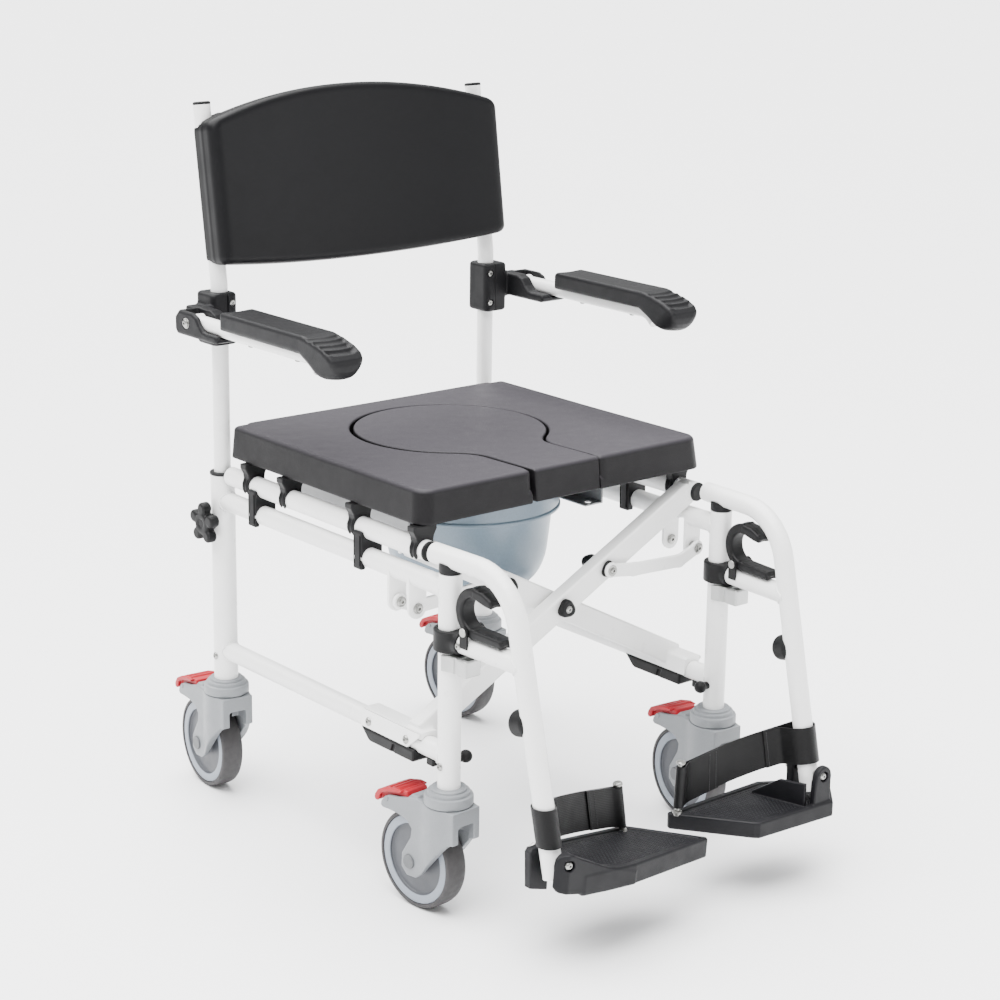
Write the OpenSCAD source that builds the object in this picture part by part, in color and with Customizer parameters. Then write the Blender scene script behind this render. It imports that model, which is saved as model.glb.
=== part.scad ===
// Shower commode chair on four braked casters, with a folding cross-braced
// tube frame, a lift-off seat with a keyhole lid, a slide-out bucket,
// a plug-in back with flip-up arms, and swing-away footrests.
// Millimetres. Front is -Y, up is +Z, the sitter's right is -X.

/* [Frame] */
// Distance between the centres of the left and right posts
post_gap = 440; // [438:1:442]
// Fore-aft distance between the front and rear post centres
post_base = 480; // [478:1:482]
// Outside diameter of the front posts
front_post_d = 28; // [27:0.5:28]
// Outside diameter of the rear posts
rear_post_d = 32; // [32:0.5:34]
// Outside diameter of the side rails and the seat rails
rail_d = 25; // [24:0.5:25]
// Height of the lower side rails
low_rail_z = 207; // [206:0.5:208]
// Height of the upper side rails
high_rail_z = 414; // [412:1:415]
// Height of the seat rails
seat_rail_z = 449; // [448:0.5:450]
// Depth of a cross brace tube, in the plane of the cross
brace_h = 30; // [26:1:32]

/* [Seat] */
// Width of the seat at its lower edge
seat_w = 458; // [450:2:460]
// Height of the top of the seat
seat_top = 521; // [519:1:524]
// Thickness of the seat
seat_t = 42; // [41:0.5:42]
// Radius of the round part of the lid
lid_r = 125; // [120:1:126]
// Half width of the front tongue of the lid
lid_half = 52; // [48:1:56]
// Radius of the rim of the bucket
bucket_r = 120; // [116:1:121]
// Depth of the bucket below its rim
bucket_depth = 116; // [106:2:130]

/* [Back and arms] */
// Lean of the upper part of the back tubes, in degrees
back_lean = 8.3; // [7:0.1:9]
// Length of the leaning part of the back tubes
back_len = 227; // [220:1:235]
// Half width of the back panel
back_half = 233; // [226:1:236]
// Height of the arm pivots
arm_z = 657.5; // [655:0.5:660]
// Height of the right arm above, and of the left arm below, the mean
arm_step = 3.5; // [0:0.5:5]
// Width of an arm pad
pad_w = 54; // [50:1:58]

/* [Footrests] */
// Inward turn of a footrest about its post at rest, in degrees
toe_in = 2.5; // [2:0.1:3]
// Lean of the hanger leg from upright, in degrees
leg_lean = 13.1; // [12.5:0.1:13.5]
// Height of the footplate hinge
foot_pivot_z = 138; // [136:1:140]
// Height of the top of a footplate
foot_top = 104; // [102:1:105]
// Thickness of a footplate
foot_t = 21; // [18:1:23]

/* [Casters] */
// Diameter of a caster wheel
wheel_d = 125; // [122:1:126]
// Width of a tyre
tyre_w = 30; // [26:1:31]
// Distance of the axle behind the swivel axis
trail = 45; // [43:1:47]
// Turn of the right front caster at rest, in degrees
turn_fr = 4.5; // [-20:0.5:20]
// Turn of the left front caster at rest, in degrees
turn_fl = -5; // [-20:0.5:20]
// Turn of the right rear caster at rest, in degrees
turn_rr = -5; // [-20:0.5:20]
// Turn of the left rear caster at rest, in degrees
turn_rl = 5; // [-20:0.5:20]

/* [Hidden] */
$fn = 48;

X = post_gap / 2;             // post centre line, sideways
SX = X - 2;                   // seat rail centre line
YF = -post_base / 2;          // front posts
YR = post_base / 2;           // rear posts
YO = 52.229;                      // shift that centres the footprint on the origin
fr = front_post_d / 2;
rr = rear_post_d / 2;
tr = rail_d / 2;
post_foot = 168;              // where the posts stand on the casters
front_top = 434;              // top of the front posts
rear_top = 449;               // top of the rear posts
stem_r = 11;                  // caster stem in the post
back_r = 11;                  // back tubes
arm_r = 10;                   // arm tubes
leg_r = 12.5;                 // hanger tubes
knob_z = 387;

// cross brace geometry: front brace rises from right to left
bx0 = -X; bz0 = 218;
brace_rise = atan2(seat_rail_z - bz0, SX + X);
brace_len = norm([SX + X, seat_rail_z - bz0]);
cross_z = bz0 + X * tan(brace_rise);
yA0 = -190; yA1 = -169.5;     // front brace, front and rear faces
yB0 = -167; yB1 = -146.5;     // rear brace
link_x = 71; link_z = cross_z + link_x * tan(brace_rise);

wr = wheel_d / 2;
seat_bot = seat_top - seat_t;
lid_y = 40;
bucket_y = 2;
rim_top = 443;

arm_x = 271; arm_y = 214;
pad_bot = arm_z + 6.5;        // underside of the arm pads, round the tube
pad_top = pad_bot + 23;

// hanger in its own frame: post axis at the origin, forward is -Y
top_z = 452;
bend_r = 70;
bend_y = -49;
leg_p = [0, bend_y - bend_r * cos(leg_lean), top_z - bend_r + bend_r * sin(leg_lean)];
leg_end_z = 114;
leg_q = [0, leg_p[1] - (leg_p[2] - leg_end_z) * tan(leg_lean), leg_end_z];
bar_z = 354;
hinge_x = X - 8;              // footplate hinge line, sideways

// ---------- helpers ----------
module rod(p, q, r) {
  v = q - p; L = norm(v);
  translate(p) rotate([0, acos(v[2] / L), atan2(v[1], v[0])]) cylinder(r = r, h = L);
}
module ybar(x, z, y0, y1, r) translate([x, y0, z]) rotate([-90, 0, 0]) cylinder(r = r, h = y1 - y0);
module xbar(y, z, x0, x1, r) translate([x0, y, z]) rotate([0, 90, 0]) cylinder(r = r, h = x1 - x0);
module box(a, b) translate(a) cube(b - a);
// profile in the Y-Z plane, extruded from x0 to x1
module yz(x0, x1) translate([x0, 0, 0]) rotate([90, 0, 90]) linear_extrude(x1 - x0) children();
// profile in the X-Z plane, extruded from y0 to y1
module xz(y0, y1) translate([0, y1, 0]) rotate([90, 0, 0]) linear_extrude(y1 - y0) children();
module other_side() mirror([1, 0, 0]) children();
// rounded rectangle from plain squares and circles
module rrect(x0, y0, x1, y1, r) {
  translate([x0 + r, y0]) square([x1 - x0 - 2 * r, y1 - y0]);
  translate([x0, y0 + r]) square([x1 - x0, y1 - y0 - 2 * r]);
  for (x = [x0 + r, x1 - r], y = [y0 + r, y1 - r]) translate([x, y]) circle(r = r);
}

// ---------- frame ----------
module side_frame(tabs) difference() {
  union() {
    translate([-X, YF, post_foot]) cylinder(r = fr, h = front_top - post_foot);
    translate([-X, YR, post_foot]) cylinder(r = rr, h = rear_top - post_foot);
    ybar(-X, low_rail_z, YF, YR, tr);
    ybar(-X, high_rail_z, YF, YR, tr);
    for (t = tabs) {
      box([-X - 13, t, 374], [-X + 13, t + 4, high_rail_z]);
      ybar(-X, 374, t, t + 4, 13);
    }
  }
  for (y = [YF, YR]) translate([-X, y, post_foot - 8]) cylinder(r = stem_r, h = 60);
  translate([-X, YF, 390]) cylinder(r = 11.5, h = 60);
  translate([-X, YR, 290]) cylinder(r = 14, h = 180);
  for (t = tabs) ybar(-X, 374, t - 1, t + 5, 4.1);
  xbar(YR, knob_z, -X - rr - 2, -X - 10, 4.06);
}
module right_side_frame() color("white") side_frame([-139, -178]);
module left_side_frame() color("white") other_side() side_frame([-190, -150]);

// brace bar rising from the right lower rail to the left seat rail
module brace_bar(y0, y1) difference() {
  union() {
    translate([bx0, y0, bz0]) rotate([0, -brace_rise, 0])
      translate([0, 0, -brace_h / 2]) cube([brace_len, y1 - y0, brace_h]);
    box([-X - 17, -200, low_rail_z - 5], [-X + 17, -85, low_rail_z + 18]);
  }
  ybar(-X, low_rail_z, -300, 0, tr + 0.1);
  box([-X - tr - 0.1, -300, low_rail_z - 30], [-X + tr + 0.1, 0, low_rail_z]);
  ybar(SX, seat_rail_z, -300, 0, tr + 0.05);
  box([SX, -300, seat_rail_z - 40], [SX + 40, 0, seat_rail_z + 60]);
  box([-X - 40, -300, 100], [-X - 17, 0, 300]);
  box([-X - 40, -300, 100], [-X + 40, 0, low_rail_z - 5]);
  yz(-X - 40, -X - tr) polygon([[-178, low_rail_z - 6], [-202, low_rail_z + 15], [-202, low_rail_z - 6]]);
  ybar(0, cross_z, -300, 0, 5.05);
  ybar(link_x, link_z, -300, 0, 4.05);
  for (y = [-176, -101]) xbar(y, low_rail_z + 4, -X - 20, -X - 10, 3.05);
}
module front_cross_brace() color("gainsboro") brace_bar(yA0, yA1);
module rear_cross_brace() color("gainsboro") other_side() brace_bar(yB0, yB1);

module right_seat_rail() color("white") ybar(-SX, seat_rail_z, -197, 221, tr);
module left_seat_rail() color("white") ybar(SX, seat_rail_z, -197, 221, tr);

module frame_plugs() color("#222226") for (s = [-1, 1]) {
  // caps on both ends of the seat rail
  ybar(s * SX, seat_rail_z, -200, -197, tr - 0.2);
  ybar(s * SX, seat_rail_z, 221, 223, tr - 0.2);
  // collar and bush in the top of the rear post
  difference() {
    union() {
      translate([s * X, YR, rear_top]) cylinder(r = rr + 0.8, h = 4);
      translate([s * X, YR, rear_top - 36]) cylinder(r = 13.98, h = 36);
    }
    translate([s * X, YR, rear_top - 60]) cylinder(r = back_r + 0.06, h = 120);
  }
  // round lock button on the inner side of the front post
  difference() {
    translate([s * (X - 8), YF, 200]) rotate([0, -s * 90, 0]) rotate_extrude()
      polygon([[0, 0], [5, 0], [5, 9], [7, 11], [8, 14], [8, 17], [7, 20.5], [5, 22.8], [2.5, 24], [0, 24]]);
    translate([s * X, YF, 150]) cylinder(r = fr + 0.02, h = 100);
  }
}

// blocks that carry the brace sleeves on the lower rails
module brace_bearing_blocks() color("#2b2b2f") for (s = [-1, 1]) difference() {
  union() {
    yz(s * X - 16.9, s * X + 16.9) polygon([[-192, low_rail_z - 21], [-102, low_rail_z - 21], [-86, low_rail_z - 5.05], [-192, low_rail_z - 5.05]]);
    box([s * X - 8, -219, low_rail_z - 20], [s * X + 8, -206, low_rail_z - 8]);
  }
  ybar(s * X, low_rail_z, -300, 0, tr + 0.05);
}

module lobed(r, n, h) {
  cylinder(r = r * 0.8, h = h);
  for (i = [0:n - 1]) rotate(360 / n * i) translate([r * 0.55, 0, 0]) cylinder(r = r * 0.45, h = h);
}
module brace_pivot_bolts() color("#26262a") {
  // centre pivot
  ybar(0, cross_z, yA0 - 15, yB1 + 15, 5);
  translate([0, yA0 - 0.1, cross_z]) rotate([90, 0, 0]) lobed(12, 3, 11);
  translate([0, yB1 + 0.1, cross_z]) rotate([-90, 0, 0]) lobed(12, 3, 11);
  ybar(0, cross_z, yA1 + 0.1, yB0 - 0.1, 12);
  // fold link pivots on each brace
  ybar(link_x, link_z, -204.4, -157, 4);
  ybar(link_x, link_z, -204.4, -200.6, 7);
  translate([link_x, yA0 - 0.1, link_z]) rotate([90, 0, 0]) lobed(10, 3, 5.8);
  translate([link_x, yA1 + 0.1, link_z]) rotate([-90, 0, 0]) lobed(10, 3, 9);
  ybar(-link_x, link_z, -179, -136, 4);
  ybar(-link_x, link_z, -139.9, -136, 7);
  translate([-link_x, yB0 - 0.1, link_z]) rotate([90, 0, 0]) lobed(10, 3, 9);
}

// bent flat bars that square up the frame when it opens
module link_shape() difference() {
  union() {
    polygon([[X, 383], [X - 30, 371], [110, link_z + 3], [link_x, link_z + 9],
      [link_x, link_z - 9], [110, link_z - 15], [X - 30, 353], [X, 365]]);
    translate([X, 374]) circle(r = 10);
    translate([link_x, link_z]) circle(r = 10);
  }
  translate([X, 374]) circle(r = 4.05);
  translate([link_x, link_z]) circle(r = 4.05);
}
module fold_links() color("white") {
  xz(-200.5, -196) link_shape();
  other_side() xz(-145, -140) link_shape();
}

// cradles on the upper side rails that carry the seat rails
module seat_rail_saddles() color("#26262a") for (s = [-1, 1], y = [152, -76]) difference() {
  box([s * SX - 16.5, y - 8.5, high_rail_z - 14], [s * SX + 16.5, y + 8.5, seat_rail_z - 1]);
  ybar(s * SX, seat_rail_z, -300, 300, tr + 0.05);
  ybar(s * X, high_rail_z, -300, 300, tr + 0.05);
  box([s * X - 8, y - 20, high_rail_z - 30], [s * X + 8, y + 20, high_rail_z]);
}

// catch blocks on the front posts that hold the footrests
module footrest_catches() color("silver") for (s = [-1, 1]) difference() {
  union() {
    box([s * X - 12, YF - 44, 318], [s * X + 12, YF - 8, 338]);
    intersection() {
      translate([s * X, YF, 318]) cylinder(r = fr + 3.5, h = 20);
      box([s * X - 30, YF - 30, 310], [s * X + 30, YF - 4, 350]);
    }
  }
  translate([s * X, YF, 300]) cylinder(r = fr + 0.02, h = 60);
  translate([s * X, YF - 34, 331]) cylinder(r = 5, h = 20);
}

module frame_fasteners() color("silver") {
  // screws of the link brackets
  ybar(-X, 374, -181.5, -170, 4); ybar(-X, 374, -181.5, -178.1, 7); ybar(-X, 374, -173.9, -170, 7);
  ybar(-X, 374, -149, -131, 4); ybar(-X, 374, -149, -145.1, 7); ybar(-X, 374, -134.9, -131, 7);
  ybar(X, 374, -204.5, -182, 4); ybar(X, 374, -204.5, -200.6, 7); ybar(X, 374, -195.9, -190.1, 7); ybar(X, 374, -185.9, -182, 7);
  ybar(X, 374, -153.5, -142, 4); ybar(X, 374, -153.5, -150.1, 7); ybar(X, 374, -145.9, -142, 7);
  // screws that hold the sleeves and the posts
  for (s = [-1, 1]) {
    for (y = [-176, -101]) {
      translate([s * (X + 17.05), y, low_rail_z + 4]) rotate([0, s * 90, 0]) cylinder(r = 5.5, h = 3);
      translate([s * (X + 13.5), y, low_rail_z + 4]) rotate([0, s * 90, 0]) cylinder(r = 3, h = 4);
    }
    difference() {
      union() {
        translate([s * (X + fr - 2), YF, 196]) rotate([0, s * 90, 0]) cylinder(r = 5, h = 4.5);
        translate([s * (X + rr - 2), YR, 200]) rotate([0, s * 90, 0]) cylinder(r = 5, h = 4.5);
      }
      translate([s * X, YF, 150]) cylinder(r = fr + 0.02, h = 100);
      translate([s * X, YR, 150]) cylinder(r = rr + 0.02, h = 100);
    }
  }
}

// fixed upper half of each caster: stem in the post, stepped ring, swivel spigot
module caster_stems() color("#9a9da0") for (sx = [-1, 1], y = [YF, YR]) translate([sx * X, y, 0]) {
  translate([0, 0, 129]) cylinder(r = 8, h = 20);
  translate([0, 0, 147]) cylinder(r = 30, h = 13);
  translate([0, 0, 160]) cylinder(r = 26, h = 4.5);
  translate([0, 0, 164.5]) cylinder(r = 22, h = 3.48);
  translate([0, 0, 160]) cylinder(r = stem_r - 0.02, h = 50);
}

// ---------- seat ----------
module keyhole(r, half, front) {
  translate([0, lid_y]) circle(r = r);
  translate([-half, front]) square([2 * half, lid_y - front]);
}
module seat_pan() color("#46464a") difference() {
  translate([0, 0, seat_bot]) linear_extrude(seat_t) {
    rrect(-seat_w / 2, -196, seat_w / 2, 150, 22);
    rrect(-seat_w / 2, -100, seat_w / 2, 216, 12);
  }
  // the rear corners are set back where the posts stand
  for (x = [-300, seat_w / 2 - 25]) box([x, 207, seat_bot - 1], [x + 325 - seat_w / 2, 300, seat_top + 1]);
  translate([0, 0, seat_bot + 18]) linear_extrude(seat_t) keyhole(lid_r + 2, lid_half + 2, -300);
  translate([0, 0, seat_bot - 1]) linear_extrude(seat_t) keyhole(lid_r - 14, lid_half + 2, -300);
}
module seat_lid() color("#46464a") {
  translate([0, 0, seat_bot + 18.3]) linear_extrude(seat_t - 18.3) keyhole(lid_r, lid_half, -195.5);
  box([-lid_half, -195.5, seat_bot + 1], [lid_half, -165, seat_bot + 19]);
}
module clip(x, y) difference() {
  box([x - 16, y - 7, seat_rail_z - 11], [x + 16, y + 7, seat_bot - 0.02]);
  ybar(x, seat_rail_z, y - 20, y + 20, tr + 0.4);
  box([x - tr - 0.4, y - 20, seat_rail_z - 40], [x + tr + 0.4, y + 20, seat_rail_z]);
}
module seat_clips() color("#26262a") {
  for (y = [169, 87, -59, -183]) clip(-SX, y);
  for (y = [169, 87, -59, -158]) clip(SX, y);
}
rail_in = bucket_r + 21.5;
module bucket_rail(s, y0) {
  x0 = s * rail_in; x1 = s * (rail_in + 2.5);
  box([min(x0, x1), y0, rim_top - 18.6], [max(x0, x1), 186, seat_bot - 0.02]);
  box([min(x1, s * (rail_in - 27.5)), y0, rim_top - 18.6], [max(x1, s * (rail_in - 27.5)), 186, rim_top - 16.6]);
  box([min(x1, s * (rail_in + 18)), y0, seat_bot - 2.5], [max(x1, s * (rail_in + 18)), 186, seat_bot - 0.02]);
}
module bucket_rails() color("#8d9094") {
  bucket_rail(-1, -60);
  difference() {
    bucket_rail(1, -99);
    translate([rail_in - 14, -89, rim_top - 30]) cylinder(r = 5, h = 20);
  }
}
module commode_bucket() color("#7d91a0") translate([0, bucket_y, rim_top]) rotate_extrude() polygon([
  [0, -bucket_depth], [62, -bucket_depth], [79, -bucket_depth + 5], [91, -bucket_depth + 15], [99, -bucket_depth + 30], [103.5, -bucket_depth + 47],
  // carrying lip and the collar above it
  [bucket_r - 10, -16.5], [bucket_r, -16.5], [bucket_r, -12], [bucket_r - 1.5, -11], [bucket_r - 1.5, 15], [bucket_r - 4.5, 15], [bucket_r - 4.5, -11],
  [bucket_r - 13, -13.5], [100, -bucket_depth + 47.5], [95.7, -bucket_depth + 31.5], [88, -bucket_depth + 17.6], [77.5, -bucket_depth + 8.3],
  [62, -bucket_depth + 3.5], [0, -bucket_depth + 3.5]]);

// ---------- back and arms ----------
module lean() translate([0, YR, 700]) rotate([-back_lean, 0, 0]) children();
back_bend = 100;              // radius of the bend in a back tube
module back_tube(x, r, top) {
  cut = back_bend * tan(back_lean / 2);
  translate([x, YR, 300]) cylinder(r = r, h = 400 - cut);
  translate([x, YR + back_bend, 700 - cut]) rotate([90, 0, -90]) rotate_extrude(angle = back_lean) translate([back_bend, 0]) circle(r = r);
  lean() translate([x, 0, cut]) cylinder(r = r, h = top - cut);
}
module back_tubes() color("white") for (s = [-1, 1]) back_tube(s * X, back_r, back_len);
module back_tube_caps() color("#222226") for (s = [-1, 1]) lean() {
  translate([s * X, 0, back_len + 0.02]) cylinder(r = back_r + 0.3, h = 4);
}
module back_panel() color("#1f1f23") lean() difference() {
  intersection() {
    linear_extrude(260) {
      rrect(-back_half, -42, back_half, 2, 18);
      rrect(-back_half, -18, back_half, 7, 5);
    }
    translate([0, 10, 243 - 745]) rotate([90, 0, 0]) cylinder(r = 745, h = 80, $fn = 96);
    translate([0, 10, 14 + 2400]) rotate([90, 0, 0]) cylinder(r = 2400, h = 80, $fn = 96);
  }
  translate([0, -22 - 1330, -10]) cylinder(r = 1330, h = 300, $fn = 96);
  box([-196, -8, -10], [196, 10, 300]);
  for (s = [-1, 1]) translate([s * X, 0, -20]) cylinder(r = back_r + 0.05, h = 300);
}
// clamp on the back tube with the open-topped housing of the arm pivot, right side
module arm_clamp() difference() {
  union() {
    translate([0, 0, arm_z - 37]) linear_extrude(67) rrect(-243, 218, -205, 262, 7);
    yz(-288, -242) polygon([[236, arm_z - 16.5], [240, arm_z - 12], [240, arm_z + 11], [236, arm_z + 15], [200, arm_z + 15],
      [190, arm_z + 11], [183, arm_z + 2], [176, arm_z - 4], [168, arm_z - 5.5], [147, arm_z - 5.5], [144, arm_z - 9], [145, arm_z - 14], [150, arm_z - 16.5]]);
  }
  translate([-X, YR, 500]) cylinder(r = back_r + 0.02, h = 300);
  // slot of the arm tube
  box([-arm_x - arm_r - 0.6, 100, arm_z - arm_r - 0.5], [-arm_x + arm_r + 0.6, arm_y, arm_z + 60]);
  xbar(arm_y, arm_z, -arm_x - arm_r - 0.6, -arm_x + arm_r + 0.6, 12.5);
  box([-arm_x - arm_r - 0.6, arm_y - 1, arm_z], [-arm_x + arm_r + 0.6, arm_y + 12.5, arm_z + 60]);
  xbar(arm_y, arm_z, -300, -230, 4.02);
  for (z = [arm_z - 24, arm_z + 17]) ybar(-213, z, 200, 216 + 10, 3.02);
}
module at_right() translate([0, 0, arm_step]) children();
module at_left() translate([0, 0, -arm_step]) other_side() children();
module right_arm_clamp() color("#333337") at_right() arm_clamp();
module left_arm_clamp() color("#333337") at_left() arm_clamp();
module clamp_screws() {
  xbar(arm_y, arm_z, -288, -240, 4);
  xbar(arm_y, arm_z, -291.5, -288, 7);
  for (z = [arm_z - 24, arm_z + 17]) { ybar(-213, z, 218.5, 225.5, 3); ybar(-213, z, 215, 217.98, 5); }
}
module arm_clamp_screws() color("silver") { at_right() clamp_screws(); at_left() clamp_screws(); }
// bent arm tube: straight, a short bend downwards, and a straight tip
module arm_bar(r) {
  ybar(-arm_x, arm_z, -30, arm_y, r);
  translate([-arm_x, -30, arm_z - 30]) rotate([0, 90, 0]) rotate([0, 0, 180]) rotate_extrude(angle = 40) translate([30, 0]) circle(r = r);
  p = [-arm_x, -30 - 30 * sin(40), arm_z - 30 + 30 * cos(40)];
  rod(p, p + 25 * [0, -cos(40), -sin(40)], r);
}
module arm_tube() difference() {
  union() { arm_bar(arm_r); xbar(arm_y, arm_z, -arm_x - arm_r + 0.5, -arm_x + arm_r - 0.5, arm_r); }
  xbar(arm_y, arm_z, -300, -230, 4.06);
}
module right_arm_tube() color("white") at_right() arm_tube();
module left_arm_tube() color("white") at_left() arm_tube();
module arm_pad() difference() {
  intersection() {
    yz(-arm_x - pad_w / 2, -arm_x + pad_w / 2) polygon([[125, pad_bot], [125, pad_top - 3], [121, pad_top], [-36, pad_top], [-60, pad_top - 3.5], [-86, pad_top - 10],
      [-99, pad_top - 14], [-108, pad_top - 20], [-111, pad_top - 27], [-109, pad_top - 35], [-101, pad_top - 43], [-89, pad_top - 47],
      [-75, pad_top - 42], [-61, pad_top - 32], [-44, pad_bot]]);
    // plan of the pad, with a round nose
    linear_extrude(900) {
      translate([-arm_x - pad_w / 2, -111 + pad_w / 2]) square([pad_w, 300]);
      translate([-arm_x, -111 + pad_w / 2]) circle(r = pad_w / 2);
    }
  }
  arm_bar(arm_r + 0.05);
}
module right_arm_pad() color("#3a3a3d") at_right() arm_pad();
module left_arm_pad() color("#3a3a3d") at_left() arm_pad();

// five-lobed clamping knob with its stud, right side
module star_knob() translate([-X, YR, knob_z]) rotate([0, -90, 0]) {
  translate([0, 0, rr + 1]) cylinder(r = 11, h = 6);
  translate([0, 0, rr + 6]) {
    cylinder(r = 15, h = 14);
    for (i = [0:4]) rotate(72 * i) translate([19.5, 0, 0]) cylinder(r = 8.5, h = 14);
  }
  translate([0, 0, back_r + 0.4]) cylinder(r = 4, h = rr - 4);
}
module right_star_knob() color("#1f1f22") star_knob();
module left_star_knob() color("#1f1f22") other_side() star_knob();

// ---------- footrests ----------
module at_post() translate([-X, YF, 0]) rotate([0, 0, toe_in]) children();
module leg_bar(r) rod(leg_p, leg_q, r);
module hanger_tube(r) {
  ybar(0, top_z, bend_y, 28, r);
  translate([0, bend_y, top_z - bend_r]) rotate([0, 90, 0]) rotate([0, 0, 180]) rotate_extrude(angle = 90 - leg_lean) translate([bend_r, 0]) circle(r = r);
  leg_bar(r);
}
module hanger() difference() {
  at_post() difference() {
    union() {
      hanger_tube(leg_r);
      ybar(0, bar_z, -128, -17, leg_r);
    }
    translate([0, 0, bar_z - 30]) cylinder(r = 20.02, h = 60);
  }
  ybar(-hinge_x, foot_pivot_z, -470, -380, 4.06);
}
module hanger_fittings() at_post() {
  // plastic collar that turns on the post
  difference() {
    translate([0, 0, bar_z - 13.5]) cylinder(r = 20, h = 27);
    translate([0, 0, 300]) cylinder(r = fr + 0.06, h = 100);
  }
  // pivot plug in the top of the post
  difference() {
    union() {
      translate([0, 0, 392]) cylinder(r = 11.44, h = 50);
      translate([0, 0, front_top + 0.3]) cylinder(r = fr, h = 12);
    }
    hanger_tube(leg_r + 0.02);
  }
  // pin of the release lever and its two ears on the bar
  xbar(-39, 374, -16, 16, 3);
  difference() {
    for (x = [-14.5, 11.5]) yz(x, x + 3) { translate([-39, 374]) circle(r = 6.5); translate([-45.5, bar_z]) square([13, 20]); }
    ybar(0, bar_z, -200, 0, leg_r + 0.02);
  }
  // rubber stop on the back of the leg
  difference() {
    translate([0, -142, 289]) rotate([-90 - leg_lean, 0, 0]) union() {
      cylinder(r = 16, h = 22);
      translate([0, 0, 22]) cylinder(r1 = 16, r2 = 11, h = 4);
    }
    leg_bar(leg_r + 0.02);
  }
}
// C-shaped release lever over the bar
module release_lever() at_post() difference() {
  yz(-11, 11) {
    difference() {
      translate([-51, 398]) circle(r = 31);
      translate([-51, 398]) circle(r = 19);
      translate([-151, 300]) square([100, 200]);
    }
    polygon([[-50.5, 429], [-50.5, 417], [-70, 412], [-80, 411], [-83, 416], [-80, 421], [-66, 427]]);
    polygon([[-50.5, 367], [-50.5, 379], [-98, 378], [-101, 373], [-98, 367]]);
  }
  xbar(-39, 374, -30, 30, 3.06);
}
// fabric loop round the leg and the pin of the footplate
function leg_y(z) = YF + leg_p[1] - (leg_p[2] - z) * tan(leg_lean);
module heel_strap(px, py, lean) {
  at_post() difference() {
    rod([0, leg_p[1] - (leg_p[2] - 195) * tan(leg_lean), 195], [0, leg_p[1] - (leg_p[2] - 153) * tan(leg_lean), 153], leg_r + 3);
    leg_bar(leg_r + 0.3);
  }
  a = [-hinge_x + 14, leg_y(171) + 6, 0];
  b = [px - 4, py - 1, 0];
  d = b - a;
  translate([a[0], a[1], 0]) rotate([0, 0, atan2(d[1], d[0])]) xz(-1.2, 1.2)
    polygon([[0, 148], [0, 194], [norm(d) - 58 * tan(lean), 164], [norm(d) - 10 * tan(lean), 112]]);
  translate([px, py, 104]) rotate([0, -lean, 0]) difference() {
    translate([0, 0, 8]) cylinder(r = 6, h = 53);
    cylinder(r = 3.9, h = 90);
  }
}
// hinge ears of a footplate, drawn on the right side, from height z0 up to the hinge
module foot_ears(z0) {
  xz(-452, -437) {
    translate([-hinge_x, foot_pivot_z]) circle(r = 13);
    polygon([[-hinge_x - 13, z0 + 14], [-hinge_x - 8, z0 + 8], [-hinge_x + 24, z0 + 3], [-hinge_x + 60, z0], [-hinge_x + 70, z0], [-hinge_x + 70, z0 + 16],
      [-hinge_x + 9, foot_pivot_z + 9.3], [-hinge_x - 13, foot_pivot_z]]);
  }
  xz(-401.5, -390) {
    translate([-hinge_x, foot_pivot_z]) circle(r = 10);
    polygon([[-hinge_x - 10, z0 + 6], [-hinge_x - 6, z0], [-hinge_x + 40, z0], [-hinge_x + 40, z0 + 12], [-hinge_x + 10, foot_pivot_z], [-hinge_x - 10, foot_pivot_z]]);
  }
}
pin_r = [-46, -358];
pin_l = [46, -357];
droop = 5;                    // the right footplate hangs a little inwards
pin_lean = 9;                 // the right strap pin is pulled towards the leg
module drooped() translate([-hinge_x, 0, foot_pivot_z]) rotate([0, droop, 0]) translate([hinge_x, 0, -foot_pivot_z]) children();
module right_hanger() color("white") hanger();
module right_hanger_fittings() color("#26262a") hanger_fittings();
module right_release_lever() color("#26262a") release_lever();
module right_heel_strap() color("#1b1b1e") heel_strap(pin_r[0], pin_r[1], pin_lean);
module right_footplate() color("#333338") difference() {
  drooped() {
    translate([0, 0, foot_pivot_z - 20 - foot_t]) linear_extrude(foot_t + 4)
      polygon([[-190, -450], [-186, -452], [-142, -452], [-104, -443], [29, -431], [31, -426], [-32, -351], [-38, -348], [-186, -346], [-190, -350]]);
    foot_ears(foot_pivot_z - 20 - foot_t);
  }
  ybar(-hinge_x, foot_pivot_z, -470, -380, 4.02);
  translate([pin_r[0], pin_r[1], 104]) rotate([0, -pin_lean, 0]) cylinder(r = 3.52, h = 100, center = true);
}
module foot_pins(p, lean, y0) {
  ybar(-hinge_x, foot_pivot_z, y0, -385, 4);
  ybar(-hinge_x, foot_pivot_z, y0 - 4, y0 - 0.02, 7);
  ybar(-hinge_x, foot_pivot_z, -389.98, -385, 7);
  translate([p[0], p[1], 104]) rotate([0, -lean, 0]) {
    translate([0, 0, -15]) cylinder(r = 3.5, h = 82);
    translate([0, 0, 63]) cylinder(r = 6, h = 4.5);
  }
}
module right_footplate_pins() color("silver") foot_pins(pin_r, pin_lean, -452);
module left_hanger() color("white") other_side() hanger();
module left_hanger_fittings() color("#26262a") other_side() hanger_fittings();
module left_release_lever() color("#26262a") other_side() release_lever();
module left_heel_strap() color("#1b1b1e") other_side() heel_strap(-pin_l[0], pin_l[1], 3);
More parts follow.
